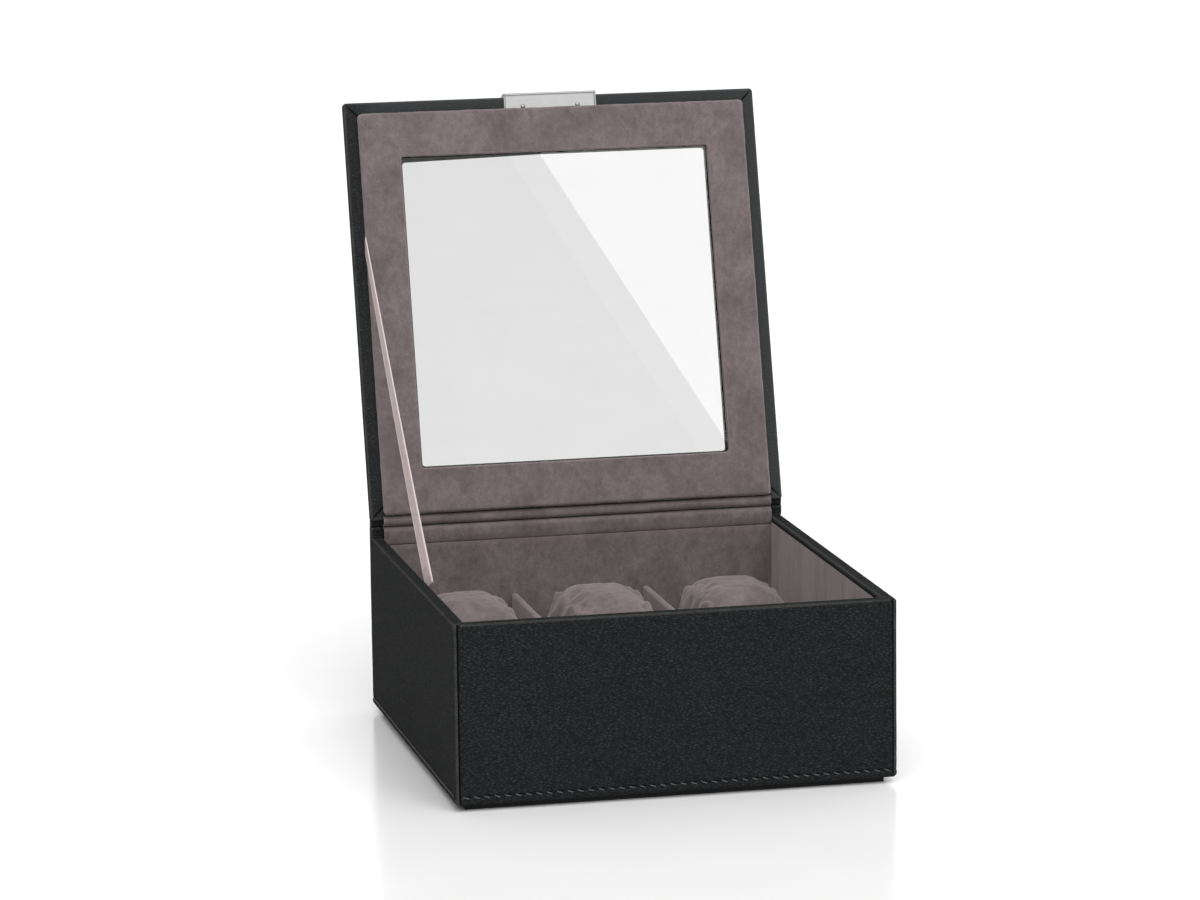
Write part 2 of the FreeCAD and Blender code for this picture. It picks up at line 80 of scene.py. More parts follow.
SLEEVE_LAP = 0.9         # how far the leather laps into the window, over the glass
SLEEVE_SKEW = 1.4        # how much further it laps at the upper left corner
SLEEVE_SKEW_END = 62.0   # where that ends, from the left side of the window
PANEL_ROUND = 1.3        # padded edge of the lid's lining panel
PANEL_CORNER = 1.9       # corners of the panel
STITCH_PITCH = 4.3       # from one stitch to the next
STITCH_RUN = 2.7         # a stitch from needle hole to needle hole, along the row
STITCH_SLANT = 0.85      # how far a stitch drops from its first hole to its second
THREAD = 0.26            # radius of the thread
# needle holes: along from the middle of a stitch, up from the row, and how deep the leather is drawn in
STITCH_PITS = ((-STITCH_RUN / 2, STITCH_SLANT / 2, 0.32), (STITCH_RUN * 0.28, 0.5, 0.62))
RIBBON_WIDTH = 6.0
RIBBON_THICKNESS = 0.24
RIBBON_FOOT_Y = -9.5     # where the ribbon leaves the left wall
RIBBON_SINK = 1.3        # the same place, below the rim
RIBBON_REACH = 124.0     # where the ribbon meets the lid, from the hinge line
RIBBON_TWIST = math.radians(22)
RIB_PITCH = 0.55


# ---- places, from the frame


def node_box(name):
    """Lowest and highest corner of a CAD node, in millimetres."""
    low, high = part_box(name)
    return low / MM, high / MM


hinge = next(joint for joint in frame["joints"] if joint["name"] == "lid_hinge")
HINGE = Vector(hinge["pos_m"]) / MM
LEAN = math.radians(-hinge["range_deg"][0] - 90)
UP_LID = Vector((0, math.sin(LEAN), math.cos(LEAN)))
INTO_LID = Vector((0, -math.cos(LEAN), math.sin(LEAN)))


def on_lid(x, up, depth):
    """A point of the lid: x, the way up from the hinge line and the depth below its outer face."""
    return HINGE + Vector((x, 0, 0)) + up * UP_LID + depth * INTO_LID


def lid_box(name):
    """Lowest and highest (x, up, depth) of one of the lid's CAD nodes."""
    co = np.array([v.co for v in frame["nodes"][name].data.vertices]) / MM - np.array(HINGE)
    local = np.stack([co[:, 0], co @ np.array(UP_LID), co @ np.array(INTO_LID)], axis=1)
    return local.min(axis=0).tolist(), local.max(axis=0).tolist()


CASE_LOW, CASE_HIGH = node_box("left_leather")
HALF_WIDTH = -CASE_LOW.x
HALF_DEPTH = -CASE_LOW.y
FOOT, RIM = CASE_LOW.z, CASE_HIGH.z
TURN_IN_END = node_box("front_lining")[1].z
STITCH_ROW = (node_box("wall_stitching")[0].z + node_box("wall_stitching")[1].z) / 2
LID_LOW, LID_HIGH = lid_box("lid_leather")
PANEL_LOW, PANEL_HIGH = lid_box("lid_lining")
GLASS_LOW, GLASS_HIGH = lid_box("window_glass")
GLASS_LAP = 8.0          # how far the pane goes behind the border of the window
WINDOW = (GLASS_LOW[0] + GLASS_LAP, GLASS_HIGH[0] - GLASS_LAP,
          GLASS_LOW[1] + GLASS_LAP, GLASS_HIGH[1] - GLASS_LAP)


# ---- mesh helpers


def loft(rows, ring=False, loop=False):
    """Quads between rows of points. ring closes each row, loop joins the last row to the first."""
    count = len(rows[0])
    points = [point for row in rows for point in row]
    faces = []
    for row in range(len(rows) if loop else len(rows) - 1):
        here, there = row * count, (row + 1) % len(rows) * count
        for column in range(count if ring else count - 1):
            beside = (column + 1) % count
            faces.append((here + column, here + beside, there + beside, there + column))
    return points, faces


def capped(rows):
    """A closed tube of rings, with a face over each end."""
    points, faces = loft(rows, ring=True)
    count = len(rows[0])
    faces.append(tuple(reversed(range(count))))
    faces.append(tuple(range(len(points) - count, len(points))))
    return points, faces


def joined(shapes):
    """Several (points, faces) shapes as one."""
    points, faces = [], []
    for more_points, more_faces in shapes:
        first = len(points)
        points += more_points
        faces += [tuple(first + corner for corner in face) for face in more_faces]
    return points, faces


def new_piece(name, shape):
    """An object from points in millimetres and faces, with double points merged and outward normals."""
    points, faces = shape
    mesh = bpy.data.meshes.new(name)
    mesh.from_pydata([Vector(point) * MM for point in points], [], faces)
    cleaner = bmesh.new()
    cleaner.from_mesh(mesh)
    bmesh.ops.remove_doubles(cleaner, verts=cleaner.verts, dist=0.002 * MM)
    bmesh.ops.dissolve_degenerate(cleaner, edges=cleaner.edges, dist=0.001 * MM)
    bmesh.ops.recalc_face_normals(cleaner, faces=cleaner.faces)
    cleaner.to_mesh(mesh)
    cleaner.free()
    mesh.polygons.foreach_set("use_smooth", [True] * len(mesh.polygons))
    piece = bpy.data.objects.new(name, mesh)
    bpy.context.scene.collection.objects.link(piece)
    return piece


def ruffle(piece, amount, grain, seed, stretch=(1, 1, 1)):
    """Moves the points along their normals by up to about amount mm, in waves of about grain mm."""
    mesh = piece.data
    moved = []
    for vertex in mesh.vertices:
        at = Vector(vertex.co[k] / MM / grain * stretch[k] for k in range(3)) + Vector((seed, 0, 0))
        moved.append(vertex.co + vertex.normal * noise.noise(at) * amount * MM)
    mesh.vertices.foreach_set("co", [number for point in moved for number in point])
    mesh.update()


def points_of(piece):
    """The points of a piece, in millimetres, one row each."""
    co = np.empty(len(piece.data.vertices) * 3)
    piece.data.vertices.foreach_get("co", co)
    return co.reshape(-1, 3) / MM


def write_marks(piece, name, values):
    """Keeps one number per point of a piece, for its material to read."""
    attribute = piece.data.attributes.new(name, "FLOAT", "POINT")
    attribute.data.foreach_set("value", np.asarray(values, np.float32))


def mark_edges(piece):
    """Writes the attribute edge: 0.5 where the surface is flat, up to 1 on ridges and down to 0 in hollows.
    A curvature of 1/mm counts as a whole ridge."""
    mesh = piece.data
    count = len(mesh.vertices)
    co = points_of(piece)
    normal = np.empty(count * 3, np.float32)
    mesh.vertices.foreach_get("normal", normal)
    normal = normal.reshape(-1, 3)
    ends = np.empty(len(mesh.edges) * 2, np.int32)
    mesh.edges.foreach_get("vertices", ends)
    a, b = ends.reshape(-1, 2).T
    way = co[a] - co[b]
    span = np.maximum((way**2).sum(axis=1), 1e-4)
    bend = ((normal[a] - normal[b]) * way).sum(axis=1) / span
    total, links = np.zeros(count), np.zeros(count)
    for end in (a, b):
        np.add.at(total, end, bend)
        np.add.at(links, end, 1)
    links = np.maximum(links, 1)
    level = np.clip(total / links, -1, 1)
    for _ in range(2):
        spread = np.zeros(count)
        np.add.at(spread, a, level[b])
        np.add.at(spread, b, level[a])
        level = (level + spread / links) / 2
    write_marks(piece, "edge", 0.5 + level / 2)


def shade(piece, clear):
    """Paints shade into a fold or seam by lowering the attribute edge: clear is 0 in it, and 1 or more away
    from it.
    """
    marks = piece.data.attributes["edge"].data
    values = np.empty(len(marks), np.float32)
    marks.foreach_get("value", values)
    marks.foreach_set("value", np.minimum(values, np.clip(clear, 0.0, 1.0)).astype(np.float32))


def finished(piece, material, body, slot, *nodes):
    """Gives a piece its material and edge marks, attaches it to its body and hides the CAD nodes that it
    stands for. slot is not used.
    """
    mark_edges(piece)
    piece.data.materials.append(material)
    if body:
        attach(piece, body)
    if nodes:
        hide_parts(*nodes)
    return piece


def arc(centre, radius, start, end, steps=6):
    """Points round part of a circle, between two angles in degrees."""
    angles = [math.radians(start + (end - start) * k / steps) for k in range(steps + 1)]
    return [(centre[0] + radius * math.cos(a), centre[1] + radius * math.sin(a)) for a in angles]


def spaced(low, high, step):
    """Even places from low to high, about a step apart, both ends included."""
    count = max(1, round(abs(high - low) / step))
    return [low + (high - low) * k / count for k in range(count + 1)]


def offset_line(line, by):
    """An open line of 2-D points moved to its right by a distance."""
    moved = []
    for k, (x, y) in enumerate(line):
        x0, y0 = line[max(k - 1, 0)]
        x1, y1 = line[min(k + 1, len(line) - 1)]
        length = math.hypot(x1 - x0, y1 - y0)
        moved.append((x + (y1 - y0) / length * by, y - (x1 - x0) / length * by))
    return moved


def rounded_box(low, high, radius, step, arc_steps=4):
    """A box with rounded edges and a grid on its faces, so that it can be ruffled."""
    low, high = Vector(low), Vector(high)
    radius = min(radius, *(high - low) / 2)
    ease = [radius * (1 - math.tan(math.radians(45 * k / arc_steps))) for k in range(arc_steps, -1, -1)]
    lines = []
    for k in range(3):
        flat = high[k] - low[k] > 2.01 * radius
        middle = spaced(low[k] + radius, high[k] - radius, step)[1:-1] if flat else []
        lines.append([low[k] + e for e in ease] + middle + [high[k] - e for e in reversed(ease)])
    sheets = []
    for axis in range(3):
        along, across = (axis + 1) % 3, (axis + 2) % 3
        for side in (low, high):
            rows = []
            for u in lines[along]:
                row = []
                for v in lines[across]:
                    point = Vector((0, 0, 0))
                    point[axis], point[along], point[across] = side[axis], u, v
                    core = Vector(min(max(point[k], low[k] + radius), high[k] - radius) for k in range(3))
                    row.append(core + (point - core).normalized() * radius)
                rows.append(row)
            sheets.append(loft(rows))
    return joined(sheets)


def ring(left, right, low, high, corner, depth, steps=40, guard=0.5):
    """A rounded rectangle of the lid, as (x, up, depth) points, with a point guard mm from each corner."""
    centres = ((right - corner, high - corner), (left + corner, high - corner),
               (left + corner, low + corner), (right - corner, low + corner))
    points = []
    for k, centre in enumerate(centres):
        turn = arc(centre, corner, 90 * k, 90 * k + 90)
        start = turn[-1]
        end = arc(centres[(k + 1) % 4], corner, 90 * k + 90, 90 * k + 180)[0]
        length = math.hypot(end[0] - start[0], end[1] - start[1])
        shares = [guard / length] + [s / steps for s in range(1, steps)] + [1 - guard / length]
        side = [(start[0] + (end[0] - start[0]) * s, start[1] + (end[1] - start[1]) * s) for s in shares]
        points += [(x, y, depth) for x, y in turn + side]
    return points


def grown(rectangle, by):
    """A rectangle (left, right, low, high) made larger all round."""
    left, right, low, high = rectangle
    return left - by, right + by, low - by, high + by


def between(first, second, share):
    """The values a share of the way from the first to the second."""
    return tuple(a + (b - a) * share for a, b in zip(first, second))


# ---- materials


class Shading:
    """A material with a Principled shader, and short ways to add the nodes that feed it."""

    def __init__(self, name, roughness=0.5, **sockets):
        self.material = bpy.data.materials.new(name)
        self.material.use_nodes = True
        self.tree = self.material.node_tree
        self.shader = self.tree.nodes.get("Principled BSDF")
        self.set("Roughness", roughness)
        for socket, value in sockets.items():
            self.set(socket.replace("_", " "), value)
        self.place = self.add("ShaderNodeTexCoord").outputs["Object"]

    def set(self, socket, value):
        self.shader.inputs[socket].default_value = value

    def add(self, kind, inputs=None, **settings):
        """A node. Its inputs are given numbers, colours or other nodes' outputs."""
        node = self.tree.nodes.new(kind)
        for key, value in settings.items():
            setattr(node, key, value)
        for key, value in (inputs or {}).items():
            if isinstance(value, bpy.types.NodeSocket):
                self.tree.links.new(value, node.inputs[key])
            else:
                node.inputs[key].default_value = value
        return node

    def link(self, output, socket):
        self.tree.links.new(output, self.shader.inputs[socket])

    def stretched(self, *scale):
        """Object coordinates scaled by a factor on each axis, for grain that runs one way."""
        return self.add("ShaderNodeMapping", {"Vector": self.place, "Scale": scale}).outputs[0]

    def noise(self, size, detail=2.0, rough=0.5, place=None, warp=0.0):
        """Cloudy noise whose features are about size mm."""
        inputs = {"Vector": place or self.place, "Scale": 1 / (size * MM), "Detail": detail,
                  "Roughness": rough, "Distortion": warp}
        return self.add("ShaderNodeTexNoise", inputs).outputs["Fac"]

    def cells(self, size, feature="F1", place=None):
        """Distances in a pattern of cells about size mm across."""
        inputs = {"Vector": place or self.place, "Scale": 1 / (size * MM)}
        return self.add("ShaderNodeTexVoronoi", inputs, feature=feature).outputs["Distance"]

    def level(self, value, low=0.3, high=0.7, to_low=0.0, to_high=1.0):
        """A value mapped from one range to another, and kept inside it."""
        inputs = {"Value": value, "From Min": low, "From Max": high, "To Min": to_low, "To Max": to_high}
        return self.add("ShaderNodeMapRange", inputs).outputs[0]

    def calculated(self, operation, *values):
        return self.add("ShaderNodeMath", dict(enumerate(values)), operation=operation).outputs[0]

    def plus(self, first, second):
        return self.calculated("ADD", first, second)

    def times(self, first, second):
        return self.calculated("MULTIPLY", first, second)

    def mix(self, share, first, second, blend="MIX"):
        """Two colours, mixed by a share."""
        node = self.add("ShaderNodeMix", data_type="RGBA", blend_type=blend)
        for socket, value in ((node.inputs[0], share), (node.inputs[6], first), (node.inputs[7], second)):
            if isinstance(value, bpy.types.NodeSocket):
                self.tree.links.new(value, socket)
            else:
                socket.default_value = value if isinstance(value, float) else (*value, 1.0)
        return node.outputs[2]

    def colour(self, share, first, second):
        """The base colour, as a mix of two."""
        self.link(self.mix(share, first, second), "Base Color")

    def attribute(self, name):
        return self.add("ShaderNodeAttribute", attribute_name=name).outputs["Fac"]

    def bump(self, height, depth):
        """Raises the surface where height is 1, by depth mm."""
        inputs = {"Height": height, "Strength": 1.0, "Distance": depth * MM}
        self.link(self.add("ShaderNodeBump", inputs).outputs[0], "Normal")


def leather_material():
    """Near-black leather with a fine pebbled grain: painted glints on the pebble tops and painted shade in
    its creases, a painted highlight on the turned-in leather and along ridges, and painted shade in hollows
    and seams.
    """
    s = Shading("box_leather", Specular_IOR_Level=0.05)
    warp = s.add("ShaderNodeTexNoise", {"Vector": s.place, "Scale": 1 / (3.0 * MM), "Detail": 2.0})
    shifted = s.add("ShaderNodeVectorMath", {0: warp.outputs["Color"], 1: (1.4 * MM,) * 3},
                    operation="MULTIPLY")
    wandering = s.add("ShaderNodeVectorMath", {0: s.place, 1: shifted.outputs[0]}).outputs[0]
    slanted = s.add("ShaderNodeMapping", {"Vector": wandering, "Rotation": (0.4, 0.7, 0.4),
                                          "Scale": (0.6, 0.8, 1.6)}).outputs[0]
    pebble = s.level(s.cells(1.2, "DISTANCE_TO_EDGE", slanted), 0.0, 0.40)
    wrinkle = s.noise(0.95, 3.0, 0.6, slanted, 1.2)
    wiped = s.level(s.noise(5.0, 3.0, 0.6, s.stretched(0.12, 0.12, 1.0)), 0.35, 0.65)
    dark = s.mix(s.level(s.noise(30.0, 3.0)), (0.0172, 0.0182, 0.0190), (0.0212, 0.0222, 0.0232))
    dark = s.mix(s.times(wiped, 0.5), dark, (0.0245, 0.0257, 0.0267))
    # painted shade in the creases of the grain
    crease_shaded = s.mix(s.level(pebble, 0.10, 0.75), (0.0075, 0.0080, 0.0086), dark)
    # painted highlights: glints on the tops of the pebbles
    lit = s.times(s.level(wrinkle, 0.50, 0.66), pebble)
    lit_tops = s.mix(s.times(lit, 0.8), crease_shaded, (0.041, 0.043, 0.044))
    # painted highlight on the turned-in leather, which faces the lamps
    lit_tops = s.mix(s.times(s.attribute("turned"), 0.6), lit_tops, (0.050, 0.054, 0.055))
    # painted highlight along ridges and rounded edges, broken up by noise
    highlight_breakup = s.level(s.noise(6.0, 3.0, 0.6), 0.3, 0.65, 0.45, 1.0)
    ridge = s.times(s.level(s.attribute("edge"), 0.635, 0.70), highlight_breakup)
    # painted shade in hollows: seams, stitch pits and folds
    hollow = s.level(s.attribute("edge"), 0.45, 0.28)
    ridge_highlit = s.mix(s.times(ridge, 0.6), lit_tops, (0.066, 0.066, 0.062))
    s.colour(s.times(hollow, 0.9), ridge_highlit, (0.0012, 0.0012, 0.0014))
    s.link(s.level(s.noise(0.9, 3.0), 0.3, 0.7, 0.74, 0.92), "Roughness")
    s.bump(s.plus(pebble, s.times(wrinkle, 1.1)), 0.20)
    return s.material


def suede_material(name, nap=(1.0, 1.0, 1.0), light=1.0):
    """Short microsuede: brushed patches lighter and darker, a speckle of fibres, a painted highlight along
    its edges and painted shade in its hollows.
    """
    s = Shading(name, 0.92, Specular_IOR_Level=0.12, Sheen_Weight=0.35, Sheen_Roughness=0.45)
    s.set("Sheen Tint", (0.95, 0.86, 0.84, 1.0))
    brushed = s.stretched(*nap)
    patches = s.level(s.noise(15.0, 4.0, 0.62, brushed, 0.6), 0.34, 0.66)
    streaks = s.level(s.noise(2.6, 3.0, 0.6, brushed, 0.4))
    speck = s.level(s.noise(0.42, 2.0, 0.7))
    low, high = (0.106, 0.086, 0.087), (0.150, 0.124, 0.125)
    # light scales the colour up or down as painted light
    base = s.mix(patches, tuple(c * light for c in low), tuple(c * light for c in high))
    base = s.mix(0.55, base, s.mix(streaks, (0.36, 0.36, 0.36), (0.64, 0.63, 0.63)), "OVERLAY")
    base = s.mix(0.42, base, s.mix(speck, (0.30, 0.29, 0.29), (0.72, 0.71, 0.71)), "OVERLAY")
    # painted highlight along ridges and rounded edges, like sheen
    ridge = s.level(s.attribute("edge"), 0.60, 0.90)
    base = s.mix(s.times(ridge, 0.34), base, (0.27, 0.215, 0.21))
    # painted shade in hollows and folds
    hollow = s.level(s.attribute("edge"), 0.46, 0.15)
    s.colour(s.times(hollow, 0.85), base, (0.018, 0.012, 0.012))
    s.bump(s.plus(s.noise(0.32, 3.0, 0.65, brushed), s.times(s.noise(1.6, 2.0), 0.6)), 0.16)
    return s.material


def ribbon_material():
    """Woven ribbon: fine cross ribs, and paler selvedges with a toothed edge."""
    s = Shading("stay_ribbon_satin", 0.6, Specular_IOR_Level=0.3, Sheen_Weight=0.25, Sheen_Roughness=0.3)
    ribs = s.calculated("SINE", s.times(s.attribute("along"), 2 * math.pi / RIB_PITCH))
    middle = s.mix(s.level(s.noise(2.2, 3.0)), (0.40, 0.315, 0.305), (0.50, 0.405, 0.395))
    weave = s.mix(s.level(ribs, -1.0, 1.0, 0.0, 0.35), middle, (0.30, 0.235, 0.23))
    s.colour(s.level(s.attribute("across"), 0.70, 0.86), weave, (0.66, 0.565, 0.55))
    s.bump(s.plus(ribs, s.noise(0.2)), 0.05)
    return s.material


def thread_material():
    """Waxed charcoal thread with a fine twist."""
    s = Shading("stitch_thread_waxed", 0.5, Specular_IOR_Level=0.5)
    fibre = s.noise(0.25, 3.0, 0.6, s.stretched(1.0, 1.0, 2.5))
    s.colour(s.level(fibre), (0.034, 0.035, 0.035), (0.085, 0.086, 0.085))
    s.bump(fibre, 0.06)
    return s.material


def steel_material():
    """Satin stainless, brushed along the clip."""
    s = Shading("clip_steel", 0.3, Metallic=1.0)
    brush = s.noise(0.12, 4.0, 0.6, s.stretched(0.02, 1.0, 1.0))
    blotch = s.level(s.noise(4.0, 2.0))
    s.colour(s.level(brush), (0.22, 0.22, 0.219), (0.32, 0.32, 0.318))
    s.link(s.plus(s.level(brush, 0.3, 0.7, 0.24, 0.40), s.times(blotch, 0.05)), "Roughness")
    s.bump(brush, 0.012)
    return s.material


def glass_material():
    """Clear pane, a little smoky, with the faint unevenness of wiped glass."""
    s = Shading("window_pane", 0.0, Transmission_Weight=1.0, IOR=1.5)
    s.colour(s.level(s.noise(30.0, 3.0)), (0.672, 0.672, 0.674), (0.684, 0.684, 0.686))
    return s.material


def paper_material():
    """Matt black covering paper of the plinth and the underside."""
    s = Shading("plinth_paper", 0.8, Specular_IOR_Level=0.25)
    fibre = s.noise(0.6, 4.0, 0.65)
    s.colour(s.level(fibre), (0.006, 0.006, 0.0065), (0.014, 0.014, 0.0145))
    s.bump(fibre, 0.05)
    return s.material


def board_material():
    """Raw fibreboard: flat brown with short pressed fibres."""
    s = Shading("fibreboard", 0.85, Specular_IOR_Level=0.2)
    fibre = s.noise(0.9, 4.0, 0.7, s.stretched(1.0, 0.35, 1.0))
    tone = s.mix(s.level(s.noise(12.0, 2.0)), (0.30, 0.205, 0.125), (0.40, 0.285, 0.18))
    s.colour(s.level(fibre, 0.35, 0.65, 0.0, 0.6), tone, (0.19, 0.125, 0.075))
    s.bump(fibre, 0.08)
    return s.material


def foam_material():
    """Open foam sheet with small cells."""
    s = Shading("panel_foam_cells", 0.95, Specular_IOR_Level=0.1)
    cell = s.level(s.cells(0.7), 0.1, 0.6)
    s.colour(cell, (0.42, 0.41, 0.38), (0.72, 0.70, 0.66))
    s.bump(cell, 0.15)
    return s.material


LEATHER_BLACK = leather_material()
SUEDE_PANEL = suede_material("suede_panel", (1.0, 1.0, 0.75))
# the side linings' suede: its nap brushed down, and a brighter, painted-lit copy of the panel's suede
SUEDE_WALL_LIT = suede_material("suede_wall_lit", (1.0, 1.0, 0.22), 1.65)
SUEDE_CUSHION = suede_material("suede_cushion", (1.0, 1.0, 1.0), 1.05)
RIBBON_SATIN = ribbon_material()
THREAD_WAXED = thread_material()
STEEL = steel_material()
GLASS = glass_material()
PAPER = paper_material()
BOARD = board_material()
FOAM = foam_material()


# ---- the leather of the case


def wall_face_heights():
    """Heights up a wall: close together round the stitch row, wide apart above it."""
    low, high = FOOT + FOOT_ROUND, RIM - RIM_ROUND
    dense_end = STITCH_ROW + 2.4
    return spaced(low, dense_end, 0.3) + spaced(dense_end, high - 0.8, 3.2)[1:]


def wall_line(top):
    """A wall's leather from its flange, round the foot and up the face, then top: (depth, height) points."""
    foot = arc((FOOT_ROUND, FOOT + FOOT_ROUND), FOOT_ROUND, -90, -180)
    face = [(0.0, height) for height in wall_face_heights()[1:]]
    return [(FLANGE, FOOT), (FLANGE / 2, FOOT)] + foot + face + top


def rim_line():
    """Leather over the rim and down the inside."""
    outer = arc((RIM_ROUND, RIM - RIM_ROUND), RIM_ROUND, 180, 90)
    inner_centre = (TURN_IN_DEPTH - RIM_INNER_ROUND, RIM - RIM_INNER_ROUND)
    inner = arc(inner_centre, RIM_INNER_ROUND, 90, 0)
    top = spaced(outer[-1][0], inner[0][0], 0.7)[1:-1]
    return outer + [(depth, RIM) for depth in top] + inner + [(TURN_IN_DEPTH, TURN_IN_END)]


def stitch_places(half):
    """Middles of the stitches along a wall."""
    count = int((2 * half - STITCH_PITCH) // STITCH_PITCH)
    return [(n - (count - 1) / 2) * STITCH_PITCH for n in range(count)]


def sunk(along, height, half, seed):
    """How far a wall's leather lies in from its nominal face: stitched in, puffed below, uneven."""
    pull, swell, unevenness = 0.16, 0.16, 0.05
    row = math.exp(-(((height - STITCH_ROW) / 0.55) ** 2))
    hole = 0.0
    if abs(along) < half - 3.0:
        for start, rise, depth in STITCH_PITS:
            from_first = along - start - stitch_places(half)[0]
            near = from_first - round(from_first / STITCH_PITCH) * STITCH_PITCH
            shape = math.exp(-((near / 0.5) ** 2) - ((height - STITCH_ROW - rise) / 0.4) ** 2)
            hole = max(hole, depth * shape)
    puff = 0.0
    if height < STITCH_ROW:
        puff = max(0.0, math.sin(math.pi * (height - FOOT) / (STITCH_ROW - FOOT)))
    wave = noise.noise(Vector((along / 17, height / 13, seed)))
    wave += 0.5 * noise.noise(Vector((along / 6, height / 7, seed)))
    return pull * row + hole - swell * puff + unevenness * wave


def folded_under(from_end):
    """How far the leather dips where its edge is folded under at a seam."""
    if from_end >= SEAM_ROUND:
        return 0.0
    return SEAM_ROUND - math.sqrt(SEAM_ROUND**2 - (SEAM_ROUND - max(from_end, 0.0)) ** 2)


def wall_skin(line, place, stations, half, seed):
    """The closed tube of a wall's leather. place(station, depth, height) gives a point and its distances:
    along the wall and from the nearest folded edge."""
    back = offset_line(line, LEATHER)
    rows = []
    for station in stations:
        row = []
        for depth, height in line:
            _, along, from_end = place(station, depth, height)
            dip = folded_under(from_end)
            below_rim = height < RIM - RIM_ROUND
            if depth < FOOT_ROUND + 0.01 and below_rim:
                dip += sunk(along, height, half, seed)
            if below_rim or depth < RIM_ROUND:
                row.append(place(station, depth + dip, height)[0])
            else:
                row.append(place(station, depth, height - dip)[0])
        for depth, height in reversed(back):
            row.append(place(station, depth, height)[0])
        rows.append(row)
    return capped(rows)


SEAM_PLACES = (0.0, 0.08, 0.2, 0.35, SEAM_ROUND, 0.9)    # from a folded edge, close enough to show it round


def end_stations(half, step):
    """Places from -half to half with more of them at both ends."""
    close = SEAM_PLACES
    middle = spaced(-half + 1.6, half - 1.6, step)
    return [-half + c for c in close] + middle + [half - c for c in reversed(close)]


FAR = 9.0    # stands for the distance to a folded edge where there is none


def front_leather():
    """The front wall's leather, between the two seams."""
    line = wall_line(rim_line())
    half = HALF_WIDTH - CORNER_ROUND - SEAM_GAP

    def place(station, depth, height):
        room = min(half, HALF_WIDTH - depth - SEAM_GAP)
        x = station * room / half
        return Vector((x, -HALF_DEPTH + depth, height)), x, room - abs(x)

    skin = wall_skin(line, place, end_stations(half, STITCH_PITCH / 7), HALF_WIDTH, 1.7)
    piece = new_piece("case_front_leather", skin)
    finished(piece, LEATHER_BLACK, "case", "leather", "front_leather")
    co = points_of(piece)
    # painted shade in the seam beside the folded edge of the side leather
    from_seam = np.where(co[:, 1] < LEATHER - HALF_DEPTH, half - np.abs(co[:, 0]), SEAM_SHADE)
    shade(piece, from_seam / SEAM_SHADE)
    mark_lit_turn_in(piece, co[:, 1] + HALF_DEPTH)


def mark_lit_turn_in(piece, inward):
    """Marks the turned-in leather on a wall's inner face, which the leather material paints lighter as a
    painted highlight. inward is how far in each point lies.
    """
    height = points_of(piece)[:, 2]
    write_marks(piece, "turned", (inward > TURN_IN_DEPTH - RIM_INNER_ROUND) & (height > TURN_IN_END - 1.0))


def side_leather(name, side, seed):
    """A side wall's leather. It wraps round the front corner and is folded under on the front."""
    line = wall_line(rim_line())
    rear = HALF_DEPTH - LEATHER
    turns = [("turn", math.radians(90 * k / 8)) for k in range(9)]
    turns[1:1] = [("turn", math.radians(a)) for a in (3, 7)]
    run = [0.25, 0.7] + spaced(1.4, HALF_DEPTH + rear - CORNER_ROUND - 1.6, STITCH_PITCH / 6)
    last = HALF_DEPTH + rear - CORNER_ROUND
    run += [last - c for c in reversed(SEAM_PLACES)]
    stations = turns + [("run", distance) for distance in run]

    def place(station, depth, height):
        kind, amount = station
        radius = max(CORNER_ROUND - depth, 0.0)
        beyond = max(depth - CORNER_ROUND, 0.0)
        centre = (HALF_WIDTH - CORNER_ROUND - beyond, -HALF_DEPTH + CORNER_ROUND + beyond)
        if kind == "turn":
            x = centre[0] + radius * math.sin(amount)
            y = centre[1] - radius * math.cos(amount)
            seam = CORNER_ROUND * amount if depth < CORNER_ROUND else FAR
            return Vector((side * x, y, height)), -HALF_DEPTH + CORNER_ROUND, seam
        y = centre[1] + (rear - centre[1]) * amount / last
        return Vector((side * (HALF_WIDTH - depth), y, height)), y, (rear - y if height < RIM - 1 else FAR)

    skin = wall_skin(line, place, stations, HALF_DEPTH, seed)
    piece = finished(new_piece("case_" + name, skin), LEATHER_BLACK, "case", "leather", name)
    mark_lit_turn_in(piece, HALF_WIDTH - np.abs(points_of(piece)[:, 0]))


def rear_leather():
    """The rear wall's leather. It wraps round both rear corners and goes on as the hinge."""
    line = wall_line([(0.0, RIM - 0.4), (0.0, RIM)])
    turns = [math.radians(90 * k / 6) for k in range(7)]
    reach = HALF_WIDTH - REAR_ROUND
    stations = [("left", a) for a in turns]
    stations += [("run", x) for x in spaced(-reach, reach, STITCH_PITCH / 6)[1:-1]]
    stations += [("right", a) for a in reversed(turns)]

    def place(station, depth, height):
        kind, amount = station
        radius = max(REAR_ROUND - depth, 0.0)
        beyond = max(depth - REAR_ROUND, 0.0)
        if kind == "run":
            room = HALF_WIDTH - max(depth, REAR_ROUND)
            x = amount * room / reach
            return Vector((x, HALF_DEPTH - depth, height)), x, FAR
        side = -1 if kind == "left" else 1
        x = HALF_WIDTH - REAR_ROUND - beyond + radius * math.cos(amount)
        y = HALF_DEPTH - REAR_ROUND - beyond + radius * math.sin(amount)
        return Vector((side * x, y, height)), side * HALF_WIDTH, FAR

    skin = wall_skin(line, place, stations, HALF_WIDTH, 5.1)
    finished(new_piece("case_rear_leather", skin), LEATHER_BLACK, "case", "leather", "rear_leather")


